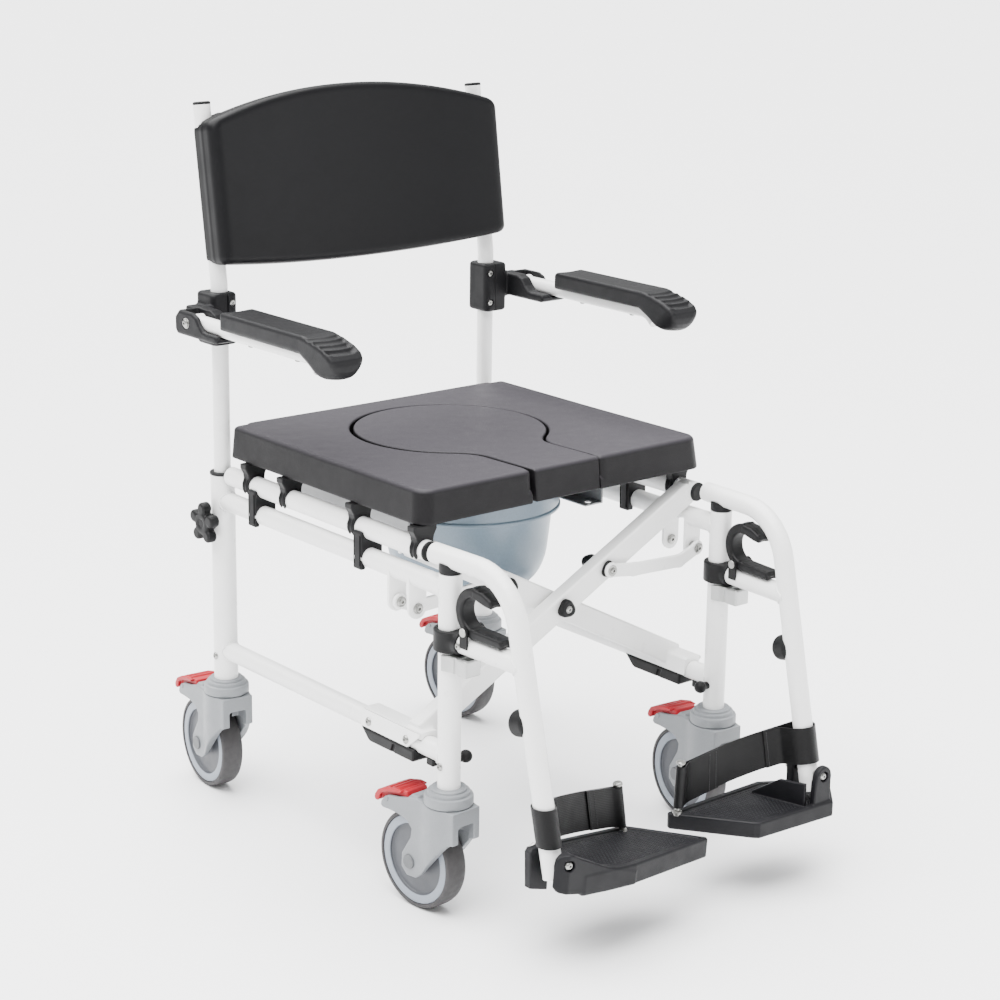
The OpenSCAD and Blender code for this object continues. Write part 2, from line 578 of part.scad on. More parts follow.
module left_footplate() color("#333338") difference() {
  union() {
    translate([0, 0, foot_top - foot_t]) linear_extrude(foot_t)
      polygon([[36, -353], [38, -348], [196, -346], [254, -380], [256, -418], [226, -450], [104, -443], [98, -438]]);
    other_side() {
      xz(-446, -437) {
        translate([-hinge_x, foot_pivot_z]) circle(r = 13);
        polygon([[-hinge_x - 13, foot_top - 8], [-hinge_x + 17, foot_top - 8], [-hinge_x + 15, foot_pivot_z - 6], [-hinge_x + 12, foot_pivot_z + 5], [-hinge_x - 13, foot_pivot_z]]);
      }
      xz(-401.5, -390) {
        translate([-hinge_x, foot_pivot_z]) circle(r = 10);
        polygon([[-hinge_x - 10, foot_top - 8], [-hinge_x + 10, foot_top - 8], [-hinge_x + 10, foot_pivot_z], [-hinge_x - 10, foot_pivot_z]]);
      }
      translate([-188, -437.5, 0]) rotate([0, 0, -16]) yz(-2.5, 2.5)
        polygon([[0, foot_top - 3], [74, foot_top - 3], [74, foot_top + 1], [36, foot_pivot_z - 8], [0, foot_pivot_z - 6]]);
    }
  }
  ybar(hinge_x, foot_pivot_z, -470, -380, 4.02);
  other_side() translate([-pin_l[0], pin_l[1], 104]) rotate([0, -3, 0]) cylinder(r = 3.52, h = 100, center = true);
}
module left_footplate_pins() color("silver") other_side() foot_pins([-pin_l[0], pin_l[1]], 3, -446);

// ---------- casters, drawn about the swivel axis, trailing towards +Y ----------
pedal_y = 86; pedal_z = 132;  // brake pedal pivot
module fork() {
  difference() {
    union() {
      translate([0, 0, 112]) cylinder(r = 29, h = 34.5);
      for (x = [-22.5, 17.5]) yz(x, x + 5) polygon([[-21, 146], [-21, 104], [-13, 94], [24, 52], [34, 44], [50, 43], [60, 52], [59, 70], [44, 94],
        [42, 106], [50, 114], [66, 117.5], [84, 118], [94, 117.5], [98, 120], [97, 126], [91, 133], [84, 136.5], [64, 140], [48, 144], [34, 146.4]]);
      // hump behind the swivel head
      yz(-20, 20) polygon([[20, 130], [20, 146], [32, 146.4], [34, 149.5], [44, 149.5], [49, 145], [50, 138], [46, 131]]);
    }
    xbar(trail, wr, -17.5, 17.5, wr + 4);
    translate([0, 0, 100]) cylinder(r = 8.06, h = 60);
    xbar(pedal_y, pedal_z, -30, 30, 3);
  }
  xbar(trail, wr, -22.5, 22.5, 5);
  xbar(trail, wr, -25, -22.4, 9);
  xbar(trail, wr, 22.4, 25, 9);
  xbar(pedal_y, pedal_z, -23.5, 23.5, 3);
}
module hub() translate([0, trail, wr]) rotate([0, 90, 0]) difference() {
  cylinder(r = wr - 6.52, h = tyre_w - 2, center = true);
  cylinder(r = 5.05, h = 60, center = true);
  for (s = [0, 1]) mirror([0, 0, s]) translate([0, 0, tyre_w / 2 - 6]) difference() { cylinder(r = 45, h = 20); cylinder(r = 17, h = 20); }
}
module tyre() translate([0, trail, wr]) rotate([0, 90, 0]) rotate_extrude() polygon([
  [wr - 6.5, -tyre_w / 2], [wr - 2.5, -tyre_w / 2], [wr - 0.6, -tyre_w / 2 + 3], [wr, -tyre_w / 2 + 7],
  [wr, tyre_w / 2 - 7], [wr - 0.6, tyre_w / 2 - 3], [wr - 2.5, tyre_w / 2], [wr - 6.5, tyre_w / 2]]);
module pedal() difference() {
  union() {
    yz(-16.8, 16.8) polygon([[53, 140], [56, 148], [72, 149], [92, 144], [104, 137], [107, 131], [103, 127], [84, 124.5], [70, 126.5], [60, 129]]);
    yz(-22, 22) polygon([[60, 148.2], [72, 149], [92, 144], [104, 138], [109, 131], [110.04, 127], [108.5, 123.5], [104.5, 123.5], [101.5, 126], [99.5, 133], [96, 136], [84, 140.5], [64, 144.5]]);
  }
  xbar(pedal_y, pedal_z, -30, 30, 3.06);
}
module at_caster(sx, y, turn) translate([sx * X, y, 0]) rotate([0, 0, turn]) children();
module front_right_fork() color("#96999c") at_caster(-1, YF, turn_fr) fork();
module front_right_hub() color("#a5acb6") at_caster(-1, YF, turn_fr) hub();
module front_right_tyre() color("#4b484a") at_caster(-1, YF, turn_fr) tyre();
module front_right_pedal() color("#d24650") at_caster(-1, YF, turn_fr) pedal();
module front_left_fork() color("#96999c") at_caster(1, YF, turn_fl) fork();
module front_left_hub() color("#a5acb6") at_caster(1, YF, turn_fl) hub();
module front_left_tyre() color("#4b484a") at_caster(1, YF, turn_fl) tyre();
module front_left_pedal() color("#d24650") at_caster(1, YF, turn_fl) pedal();
module rear_right_fork() color("#96999c") at_caster(-1, YR, turn_rr) fork();
module rear_right_hub() color("#a5acb6") at_caster(-1, YR, turn_rr) hub();
module rear_right_tyre() color("#4b484a") at_caster(-1, YR, turn_rr) tyre();
module rear_right_pedal() color("#d24650") at_caster(-1, YR, turn_rr) pedal();
module rear_left_fork() color("#96999c") at_caster(1, YR, turn_rl) fork();
module rear_left_hub() color("#a5acb6") at_caster(1, YR, turn_rl) hub();
module rear_left_tyre() color("#4b484a") at_caster(1, YR, turn_rl) tyre();
module rear_left_pedal() color("#d24650") at_caster(1, YR, turn_rl) pedal();

// ---------- the pieces ----------
module place() translate([0, YO, 0]) children();
place() right_side_frame();
place() left_side_frame();
place() front_cross_brace();
place() rear_cross_brace();
place() right_seat_rail();
place() left_seat_rail();
place() frame_plugs();
place() brace_bearing_blocks();
place() brace_pivot_bolts();
place() fold_links();
place() seat_rail_saddles();
place() footrest_catches();
place() frame_fasteners();
place() caster_stems();
place() seat_pan();
place() seat_clips();
place() bucket_rails();
place() seat_lid();
place() commode_bucket();
place() back_panel();
place() back_tubes();
place() back_tube_caps();
place() right_arm_clamp();
place() left_arm_clamp();
place() arm_clamp_screws();
place() right_arm_tube();
place() right_arm_pad();
place() left_arm_tube();
place() left_arm_pad();
place() right_star_knob();
place() left_star_knob();
place() right_hanger();
place() right_hanger_fittings();
place() right_release_lever();
place() right_heel_strap();
place() right_footplate();
place() right_footplate_pins();
place() left_hanger();
place() left_hanger_fittings();
place() left_release_lever();
place() left_heel_strap();
place() left_footplate();
place() left_footplate_pins();
place() front_right_fork();
place() front_right_hub();
place() front_right_tyre();
place() front_right_pedal();
place() front_left_fork();
place() front_left_hub();
place() front_left_tyre();
place() front_left_pedal();
place() rear_right_fork();
place() rear_right_hub();
place() rear_right_tyre();
place() rear_right_pedal();
place() rear_left_fork();
place() rear_left_hub();
place() rear_left_tyre();
place() rear_left_pedal();
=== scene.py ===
import math

import bpy
import numpy as np
from mathutils import Matrix, Vector


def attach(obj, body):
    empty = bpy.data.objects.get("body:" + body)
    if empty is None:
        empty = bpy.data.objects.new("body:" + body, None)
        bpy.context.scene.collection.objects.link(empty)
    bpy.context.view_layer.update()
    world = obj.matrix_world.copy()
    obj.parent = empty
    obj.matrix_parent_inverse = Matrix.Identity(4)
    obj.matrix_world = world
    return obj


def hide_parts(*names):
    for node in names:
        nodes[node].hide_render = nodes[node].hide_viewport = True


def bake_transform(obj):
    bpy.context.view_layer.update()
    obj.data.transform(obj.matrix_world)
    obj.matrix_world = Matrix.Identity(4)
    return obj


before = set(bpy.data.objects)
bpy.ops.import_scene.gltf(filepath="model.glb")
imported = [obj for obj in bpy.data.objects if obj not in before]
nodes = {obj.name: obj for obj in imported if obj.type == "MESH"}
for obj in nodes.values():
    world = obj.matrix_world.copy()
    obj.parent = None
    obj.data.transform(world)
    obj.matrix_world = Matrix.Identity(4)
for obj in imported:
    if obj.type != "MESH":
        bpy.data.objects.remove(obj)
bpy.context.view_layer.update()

# Lengths below are millimetres in the CAD drawing's own layout: front is -Y, the
# sitter's right is -X. YO is the drawing's shift that centres it on the origin.
YO = 52.229
X, SX, YF, YR = 220.0, 218.0, -240.0, 240.0


# ======================================================================
# distance fields
# ======================================================================
def ln(*c):
    return np.sqrt(sum(k * k for k in c))


def smin(a, b, k):
    h = np.maximum(k - np.abs(a - b), 0) / k
    return np.minimum(a, b) - h * h * k * 0.25


def smax(a, b, k):
    return -smin(-a, -b, k)


def disc(cu, cv, r):
    return lambda u, v: ln(u - cu, v - cv) - r


def rrect(x0, y0, x1, y1, r):
    cx, cy, hx, hy = (x0 + x1) / 2, (y0 + y1) / 2, (x1 - x0) / 2, (y1 - y0) / 2

    def f(u, v):
        a, b = np.abs(u - cx) - hx + r, np.abs(v - cy) - hy + r
        return np.minimum(np.maximum(a, b), 0) + ln(np.maximum(a, 0), np.maximum(b, 0)) - r

    return f


def poly(pts):
    p = np.array(pts, float)

    def f(u, v):
        q = np.stack([u, v], -1)
        d = np.full(len(q), 1e12)
        s = np.ones(len(q))
        for i in range(len(p)):
            a, b = p[i], p[i - 1]
            e, w = b - a, q - a
            t = np.clip((w @ e) / (e @ e), 0, 1)
            near = w - t[:, None] * e
            d = np.minimum(d, (near * near).sum(1))
            c1, c2 = q[:, 1] >= a[1], q[:, 1] < b[1]
            c3 = e[0] * w[:, 1] > e[1] * w[:, 0]
            s = np.where((c1 & c2 & c3) | (~c1 & ~c2 & ~c3), -s, s)
        return s * np.sqrt(d)

    return f


def inset(pts, r):
    """The polygon with each edge moved in by r."""
    p = np.array(pts, float)
    nxt = np.roll(p, -1, 0)
    area = (p[:, 0] * nxt[:, 1] - nxt[:, 0] * p[:, 1]).sum()
    if area < 0:
        p = p[::-1]
        nxt = np.roll(p, -1, 0)
    e = nxt - p
    e /= np.linalg.norm(e, axis=1)[:, None]
    n = np.stack([-e[:, 1], e[:, 0]], 1)
    out = []
    for i in range(len(p)):
        n0, n1 = n[i - 1], n[i]
        out.append(p[i] + (n0 + n1) * r / (1 + n0 @ n1))
    return out


def rpoly(pts, r):
    g = poly(inset(pts, r))
    return lambda u, v: g(u, v) - r


AX = {"x": (1, 2, 0), "y": (0, 2, 1), "z": (0, 1, 2)}


def ext(f2, axis, lo, hi, r=0.0):
    """A 2-D field extruded along an axis, its end edges rounded by r."""
    iu, iv, iw = AX[axis]
    c, hh = (lo + hi) / 2, (hi - lo) / 2

    def f(p):
        d = f2(p[:, iu], p[:, iv]) + r
        w = np.abs(p[:, iw] - c) - hh + r
        return np.minimum(np.maximum(d, w), 0) + ln(np.maximum(d, 0), np.maximum(w, 0)) - r

    return f


def rbox(lo, hi, r):
    lo, hi = np.array(lo, float), np.array(hi, float)
    c, h = (lo + hi) / 2, (hi - lo) / 2

    def f(p):
        q = np.abs(p - c) - h + r
        return np.minimum(q.max(1), 0) + np.linalg.norm(np.maximum(q, 0), axis=1) - r

    return f


def capsule(a, b, r):
    a, b = np.array(a, float), np.array(b, float)
    e = b - a

    def f(p):
        t = np.clip(((p - a) @ e) / (e @ e), 0, 1)
        return np.linalg.norm(p - a - t[:, None] * e, axis=1) - r

    return f


def union(*fs, k=0.0):
    def f(p):
        d = fs[0](p)
        for g in fs[1:]:
            d = smin(d, g(p), k) if k else np.minimum(d, g(p))
        return d

    return f


def cut(a, *fs, k=0.0):
    def f(p):
        d = a(p)
        for g in fs:
            d = smax(d, -g(p), k) if k else np.maximum(d, -g(p))
        return d

    return f


def both(*fs, k=0.0):
    def f(p):
        d = fs[0](p)
        for g in fs[1:]:
            d = smax(d, g(p), k) if k else np.maximum(d, g(p))
        return d

    return f


CORNERS = np.array([(a, b, c) for a in (0, 1) for b in (0, 1) for c in (0, 1)])
EDGES = [(i, j) for i in range(8) for j in range(i + 1, 8) if np.abs(CORNERS[i] - CORNERS[j]).sum() == 1]


def net(f, lo, hi, h, block=10):
    """Closed quad mesh where f is 0, with a vertex in each cell of size h that the surface crosses."""
    lo, hi = np.array(lo, float) - 2.37 * h, np.array(hi, float) + 2.37 * h
    n = np.maximum(np.ceil((hi - lo) / (h * block)).astype(int), 1)
    ix = np.stack(np.meshgrid(*[np.arange(k) for k in n], indexing="ij"), -1).reshape(-1, 3)
    d = f(lo + (ix + 0.5) * block * h)
    ix = ix[np.abs(d) < block * h * 0.8661 * 1.35 + h]
    g = np.arange(block + 1)
    off = np.stack(np.meshgrid(g, g, g, indexing="ij"), -1).reshape(-1, 3)
    vals = np.empty((len(ix), block + 1, block + 1, block + 1))
    for s in range(0, len(ix), 256):
        part = ix[s:s + 256]
        pts = lo + (part[:, None, :] * block + off[None]) * h
        vals[s:s + 256] = f(pts.reshape(-1, 3)).reshape(-1, block + 1, block + 1, block + 1)
    neg = vals < 0
    b = block
    count = sum(neg[:, i:i + b, j:j + b, k:k + b].astype(np.int8) for i, j, k in CORNERS)
    cb, ci, cj, ck = np.nonzero((count > 0) & (count < 8))
    base = ix[cb] * b + np.stack([ci, cj, ck], 1)
    cv = np.stack([vals[cb, ci + i, cj + j, ck + k] for i, j, k in CORNERS], 1)
    acc, cnt = np.zeros((len(cb), 3)), np.zeros(len(cb))
    for i, j in EDGES:
        va, vb = cv[:, i], cv[:, j]
        m = (va < 0) != (vb < 0)
        t = np.where(m, va / np.where(m, va - vb, 1), 0)
        acc += np.where(m[:, None], CORNERS[i] + t[:, None] * (CORNERS[j] - CORNERS[i]), 0)
        cnt += m
    pos = lo + (base + acc / cnt[:, None]) * h
    dims = n * b + 3

    def key(c):
        return ((c[:, 0] + 1) * dims[1] + c[:, 1] + 1) * dims[2] + c[:, 2] + 1

    ids = key(base)
    order = np.argsort(ids)
    pos, ids = pos[order], ids[order]
    quads = []
    around = {0: [(0, 1, 1), (0, 0, 1), (0, 0, 0), (0, 1, 0)],
              1: [(1, 0, 1), (1, 0, 0), (0, 0, 0), (0, 0, 1)],
              2: [(1, 1, 0), (0, 1, 0), (0, 0, 0), (1, 0, 0)]}
    for a in range(3):
        s0 = neg[:, :b, :b, :b]
        s1 = [neg[:, 1:, :b, :b], neg[:, :b, 1:, :b], neg[:, :b, :b, 1:]][a]
        eb, ei, ej, ek = np.nonzero(s0 != s1)
        at = ix[eb] * b + np.stack([ei, ej, ek], 1)
        q = []
        for o in around[a]:
            k = key(at - np.array(o))
            w = np.clip(np.searchsorted(ids, k), 0, len(ids) - 1)
            q.append(np.where(ids[w] == k, w, -1))
        q = np.stack(q, 1)
        inside_first = s0[eb, ei, ej, ek]
        q = np.where(inside_first[:, None], q, q[:, ::-1])
        quads.append(q[(q >= 0).all(1)])
    e = 0.15 * h

    def grad(p):
        return np.stack([f(p + e * np.eye(3)[i]) - f(p - e * np.eye(3)[i]) for i in range(3)], 1) / (2 * e)

    for _ in range(3):
        gr = grad(pos)
        step = f(pos) / np.maximum((gr * gr).sum(1), 0.2)
        pos = pos - np.clip(step, -0.6 * h, 0.6 * h)[:, None] * gr
    gr = grad(pos)
    return pos, np.concatenate(quads), gr / np.maximum(np.linalg.norm(gr, axis=1), 1e-9)[:, None]


# ======================================================================
# mesh helpers: a shape is (points, faces, normals or None)
# ======================================================================
def mirrored(s):
    v, q, n = s
    flip = np.array([-1.0, 1, 1])
    q = q[:, ::-1] if isinstance(q, np.ndarray) else [list(f)[::-1] for f in q]
    return v * flip, q, None if n is None else n * flip


def moved(s, m):
    v, q, n = s
    m = np.array(m, float)
    return v @ m[:3, :3].T + m[:3, 3], q, None if n is None else n @ m[:3, :3].T


def at(x, y, z, *turns):
    """Translation after turns given as (axis, degrees), the last one first."""
    m = Matrix.Translation((x, y, z))
    for axis, deg in turns:
        m = m @ Matrix.Rotation(math.radians(deg), 4, axis)
    return m


def joined(shapes):
    v, q, n, base = [], [], [], 0
    for s in shapes:
        v.append(s[0])
        q += [[int(i) + base for i in f] for f in s[1]]
        n.append(s[2])
        base += len(s[0])
    return np.concatenate(v), q, None if any(k is None for k in n) else np.concatenate(n)


def lathe(profile, seg=48, radius=None):
    """Closed solid turned about local z from (radius, height) points. radius(i, angle, r) may shape a ring."""
    v, q = [], []
    rings = []
    for i, (r, z) in enumerate(profile):
        if r < 1e-6:
            rings.append([len(v)])
            v.append((0, 0, z))
        else:
            ring = []
            for k in range(seg):
                a = 2 * math.pi * k / seg
                rr = radius(i, a, r) if radius else r
                ring.append(len(v))
                v.append((rr * math.cos(a), rr * math.sin(a), z))
            rings.append(ring)
    loop = rings if (len(rings[0]) == 1 and len(rings[-1]) == 1) else rings + [rings[0]]
    for a, b in zip(loop[:-1], loop[1:]):
        for k in range(seg):
            k1 = (k + 1) % seg
            if len(a) == 1 and len(b) == 1:
                continue
            if len(a) == 1:
                q.append([a[0], b[k1], b[k]])
            elif len(b) == 1:
                q.append([a[k], a[k1], b[0]])
            else:
                q.append([a[k], a[k1], b[k1], b[k]])
    v = np.array(v, float)
    # outward winding from the signed volume
    vol = 0.0
    for f in q:
        for i in range(1, len(f) - 1):
            vol += np.dot(v[f[0]], np.cross(v[f[i]], v[f[i + 1]]))
    if vol < 0:
        q = [f[::-1] for f in q]
    return v, q, None


def arc(cx, cz, r, a0, a1, n):
    return [(cx + r * math.cos(math.radians(a0 + (a1 - a0) * i / n)), cz + r * math.sin(math.radians(a0 + (a1 - a0) * i / n))) for i in range(n + 1)]


def hexed(first, last, across):
    """For lathe: rings first..last follow a hexagon of that width across flats."""
    def f(i, a, r):
        if first <= i <= last:
            b = (a + math.pi / 6) % (math.pi / 3) - math.pi / 6
            return across / 2 / math.cos(b) * r
        return r

    return f


def screw(head_r, head_h, sock, shank_r=0.0, shank=0.0, dome=0.6):
    """Socket screw: underside of the head at z 0, head up, shank down."""
    p = [(0, -shank)] if shank else [(0, 0)]
    if shank:
        p += [(shank_r * 0.8, -shank), (shank_r, -shank + 0.6), (shank_r, 0)]
    p += [(head_r - 0.3, 0), (head_r, 0.3)]
    c = min(head_h * dome, head_h - 0.4)
    p += [(head_r, head_h - c)]
    p += [(head_r - (head_r - sock * 0.75) * t, head_h - c + c * math.sin(t * math.pi / 2)) for t in (0.2, 0.45, 0.7, 1.0)]
    first = len(p)
    p += [(1.0, head_h), (1.0, head_h - min(2.2, head_h * 0.7)), (0.55, head_h - min(2.2, head_h * 0.7) - 0.2), (0, head_h - min(2.2, head_h * 0.7) - 0.3)]
    return lathe(p, 36, hexed(first, first + 2, sock))


def along(v):
    """Rotation that takes local z to v."""
    return Vector((0, 0, 1)).rotation_difference(Vector(v).normalized()).to_matrix().to_4x4()


def tube_path(points, r, seg=10, closed=False, radii=None):
    """Round cord along points."""
    p = np.array(points, float)
    n = len(p)
    t = np.roll(p, -1, 0) - np.roll(p, 1, 0) if closed else np.gradient(p, axis=0)
    t /= np.linalg.norm(t, axis=1)[:, None]
    ref = np.array([0.31, 0.17, 0.93])
    a = np.cross(t, ref)
    a /= np.linalg.norm(a, axis=1)[:, None]
    b = np.cross(t, a)
    rad = np.full(n, r) if radii is None else np.array(radii, float)
    ang = 2 * math.pi * np.arange(seg) / seg
    v = p[:, None, :] + rad[:, None, None] * (np.cos(ang)[None, :, None] * a[:, None, :] + np.sin(ang)[None, :, None] * b[:, None, :])
    q = []
    for i in range(n if closed else n - 1):
        j = (i + 1) % n
        for k in range(seg):
            k1 = (k + 1) % seg
            q.append([i * seg + k, i * seg + k1, j * seg + k1, j * seg + k])
    if not closed:
        q.append(list(range(seg))[::-1])
        q.append([(n - 1) * seg + k for k in range(seg)])
    v = v.reshape(-1, 3)
    vol = sum(np.dot(v[f[0]], np.cross(v[f[i]], v[f[i + 1]])) for f in q for i in range(1, len(f) - 1))
    if vol < 0:
        q = [f[::-1] for f in q]
    return v, q, None


def put(name, s, body, mats, replaces=(), sharp=32, which=None, rides=True):
    """Makes the piece, in metres, riding on its body."""
    v, q, n = s
    v = (np.asarray(v, float) + np.array([0, YO, 0])) / 1000
    me = bpy.data.meshes.new(name)
    me.from_pydata(v.tolist(), [], q.tolist() if isinstance(q, np.ndarray) else q)
    me.update()
    me.polygons.foreach_set("use_smooth", [True] * len(me.polygons))
    if n is not None:
        me.normals_split_custom_set_from_vertices(np.asarray(n, float).tolist())
    else:
        me.set_sharp_from_angle(angle=math.radians(sharp))
    for m in mats if isinstance(mats, (list, tuple)) else [mats]:
        me.materials.append(m)
    if which is not None:
        me.polygons.foreach_set("material_index", [int(w) for w in which])
    o = bpy.data.objects.new(name, me)
    bpy.context.scene.collection.objects.link(o)
    if rides:
        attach(o, body)
    if replaces:
        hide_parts(*([replaces] if isinstance(replaces, str) else replaces))
    return o


# ======================================================================
# materials
# ======================================================================
class Nodes:
    def __init__(self, name):
        self.m = bpy.data.materials.new(name)
        self.m.use_nodes = True
        self.t = self.m.node_tree
        self.b = self.t.nodes["Principled BSDF"]
        self.coord = self.new("ShaderNodeTexCoord")

    def new(self, kind, **inputs):
        n = self.t.nodes.new(kind)
        for k, val in inputs.items():
            n.inputs[k.replace("_", " ")].default_value = val
        return n

    def link(self, a, b):
        self.t.links.new(a, b)

    def noise(self, scale, detail=3.0, rough=0.55, vec=None, stretch=None):
        n = self.new("ShaderNodeTexNoise", Scale=scale, Detail=detail, Roughness=rough)
        src = vec or self.coord.outputs["Object"]
        if stretch:
            mp = self.new("ShaderNodeMapping")
            mp.inputs["Scale"].default_value = stretch
            self.link(src, mp.inputs["Vector"])
            src = mp.outputs["Vector"]
        self.link(src, n.inputs["Vector"])
        return n.outputs["Fac"]

    def cells(self, scale, feature="F1", vec=None):
        n = self.new("ShaderNodeTexVoronoi", Scale=scale)
        n.feature = feature
        self.link(vec or self.coord.outputs["Object"], n.inputs["Vector"])
        return n.outputs["Distance"]

    def ramp(self, fac, stops):
        n = self.new("ShaderNodeValToRGB")
        e = n.color_ramp.elements
        while len(e) < len(stops):
            e.new(0.5)
        for k, (pos, col) in zip(e, stops):
            k.position = pos
            k.color = (*col, 1.0) if len(col) == 3 else col
        self.link(fac, n.inputs["Fac"])
        return n.outputs["Color"]

    def span(self, fac, lo, hi, a=0.3, b=0.7):
        n = self.new("ShaderNodeMapRange")
        n.inputs["From Min"].default_value, n.inputs["From Max"].default_value = a, b
        n.inputs["To Min"].default_value, n.inputs["To Max"].default_value = lo, hi
        self.link(fac, n.inputs["Value"])
        return n.outputs["Result"]

    def mix(self, fac, a, b, mode="MIX"):
        n = self.new("ShaderNodeMix")
        n.data_type, n.blend_type = "RGBA", mode
        for s, val in ((0, fac), (6, a), (7, b)):
            if hasattr(val, "is_output"):
                self.link(val, n.inputs[s])
            elif s == 0:
                n.inputs[s].default_value = val
            else:
                n.inputs[s].default_value = (*val, 1.0)
        return n.outputs[2]

    def bump(self, height, strength, dist, normal=None):
        n = self.new("ShaderNodeBump", Strength=strength, Distance=dist)
        self.link(height, n.inputs["Height"])
        if normal is not None:
            self.link(normal, n.inputs["Normal"])
        return n.outputs["Normal"]

    def edges(self, lo=0.52, hi=0.6):
        g = self.new("ShaderNodeNewGeometry")
        return self.span(g.outputs["Pointiness"], 0.0, 1.0, lo, hi)


def lin(*rgb):
    return tuple(((c / 255 + 0.055) / 1.055) ** 2.4 if c > 10 else c / 255 / 12.92 for c in rgb)


def tone(c, k):
    return tuple(min(1.0, x * k) for x in c)


def moulded(name, rgb, rough=(0.45, 0.6), vary=0.1, grain=1400, depth=0.00012, strength=0.35, patch=9.0, spec=0.5,
            wear=0.0, wear_col=None, painted_top_light=0.0, pale=1.9):
    """Moulded plastic or skin: patchy tone, fine grain in bump, uneven gloss, and optionally a painted lighter top on
    faces that turn upward.
    """
    n = Nodes(name)
    c = lin(*rgb)
    big = n.noise(patch, 4.0)
    fine = n.noise(grain * 0.6, 2.0)
    col = n.ramp(big, [(0.3, tone(c, 1 - vary)), (0.7, tone(c, 1 + vary))])
    speck = n.ramp(fine, [(0.35, (0.86, 0.86, 0.86)), (0.65, (1.0, 1.0, 1.0))])
    col = n.mix(0.6, col, speck, "MULTIPLY")
    # painted light: faces that turn upward are blended towards a paler tone, a painted lighter top where the light
    # falls
    if painted_top_light:
        up = n.new("ShaderNodeNewGeometry")
        sep = n.new("ShaderNodeSeparateXYZ")
        n.link(up.outputs["Normal"], sep.inputs["Vector"])
        top_light_mask = n.span(sep.outputs["Z"], 0.0, painted_top_light, 0.2, 1.0)
        col = n.mix(top_light_mask, col, tone(c, pale))
    if wear:
        f = n.edges()
        w = n.new("ShaderNodeMath")
        w.operation = "MULTIPLY"
        n.link(f, w.inputs[0])
        w.inputs[1].default_value = wear
        col = n.mix(w.outputs[0], col, wear_col or tone(c, 1.8))
    n.link(col, n.b.inputs["Base Color"])
    n.link(n.span(n.noise(patch * 6, 3.0), *rough), n.b.inputs["Roughness"])
    h = n.bump(n.cells(grain), strength, depth)
    h = n.bump(n.noise(grain * 0.12, 3.0), strength * 0.35, depth * 1.6, h)
    n.link(h, n.b.inputs["Normal"])
    n.b.inputs["Specular IOR Level"].default_value = spec
    return n


def metal(name, rgb, rough=(0.22, 0.38), vary=0.08, brushed=None, metallic=1.0):
    n = Nodes(name)
    c = lin(*rgb)
    col = n.ramp(n.noise(26.0, 4.0), [(0.3, tone(c, 1 - vary)), (0.7, tone(c, 1 + vary))])
    n.link(col, n.b.inputs["Base Color"])
    n.b.inputs["Metallic"].default_value = metallic
    streak = n.noise(500.0, 3.0, stretch=brushed or (1, 1, 1))
    n.link(n.span(streak, *rough), n.b.inputs["Roughness"])
    n.link(n.bump(streak, 0.12, 0.00008), n.b.inputs["Normal"])
    return n


def coat():
    """White powder coat: faint warm and cool patches, orange peel, a little grime."""
    n = Nodes("white_powder_coat")
    c = lin(233, 233, 232)
    col = n.ramp(n.noise(7.0, 5.0), [(0.3, tone(c, 0.972)), (0.55, c), (0.75, tone(c, 1.012))])
    grime = n.ramp(n.noise(70.0, 6.0, 0.65), [(0.32, (0.95, 0.945, 0.935)), (0.46, (1.0, 1.0, 1.0))])
    col = n.mix(0.55, col, grime, "MULTIPLY")
    n.link(col, n.b.inputs["Base Color"])
    n.link(n.span(n.noise(40.0, 3.0), 0.27, 0.38), n.b.inputs["Roughness"])
    peel = n.bump(n.noise(520.0, 2.0), 0.10, 0.00016)
    n.link(peel, n.b.inputs["Normal"])
    n.b.inputs["Coat Weight"].default_value = 0.15
    n.b.inputs["Coat Roughness"].default_value = 0.2
    return n.m


def webbing():
    n = Nodes("black_webbing")
    uv = n.coord.outputs["UV"]
    w1 = n.new("ShaderNodeTexWave", Scale=210.0, Distortion=0.15, Detail=1.0)
    w1.bands_direction = "X"
    w2 = n.new("ShaderNodeTexWave", Scale=150.0, Distortion=0.15, Detail=1.0)
    w2.bands_direction = "Y"
    n.link(uv, w1.inputs["Vector"])
    n.link(uv, w2.inputs["Vector"])
    weave = n.new("ShaderNodeMath")
    weave.operation = "MULTIPLY"
    n.link(w1.outputs["Fac"], weave.inputs[0])
    n.link(w2.outputs["Fac"], weave.inputs[1])
    c = lin(5, 5, 6)
    col = n.ramp(n.noise(30.0, 4.0), [(0.3, tone(c, 0.75)), (0.7, tone(c, 1.3))])
    col = n.mix(0.5, col, n.ramp(weave.outputs[0], [(0.1, (0.6, 0.6, 0.62)), (0.7, (1.0, 1.0, 1.0))]), "MULTIPLY")
    n.link(col, n.b.inputs["Base Color"])
    n.link(n.span(n.noise(60.0, 3.0), 0.3, 0.44), n.b.inputs["Roughness"])
    n.b.inputs["Specular IOR Level"].default_value = 0.2
    n.link(n.bump(weave.outputs[0], 0.5, 0.0003), n.b.inputs["Normal"])
    n.b.inputs["Sheen Weight"].default_value = 0.02
    n.b.inputs["Sheen Roughness"].default_value = 0.4
    return n.m


def bucket_mat():
    n = moulded("bucket_polypropylene", (108, 125, 138), (0.28, 0.42), 0.05, 700, 0.00006, 0.18, 5.0)
    n.b.inputs["Subsurface Weight"].default_value = 0.25
    n.b.inputs["Subsurface Radius"].default_value = (0.006, 0.007, 0.008)
    return n.m


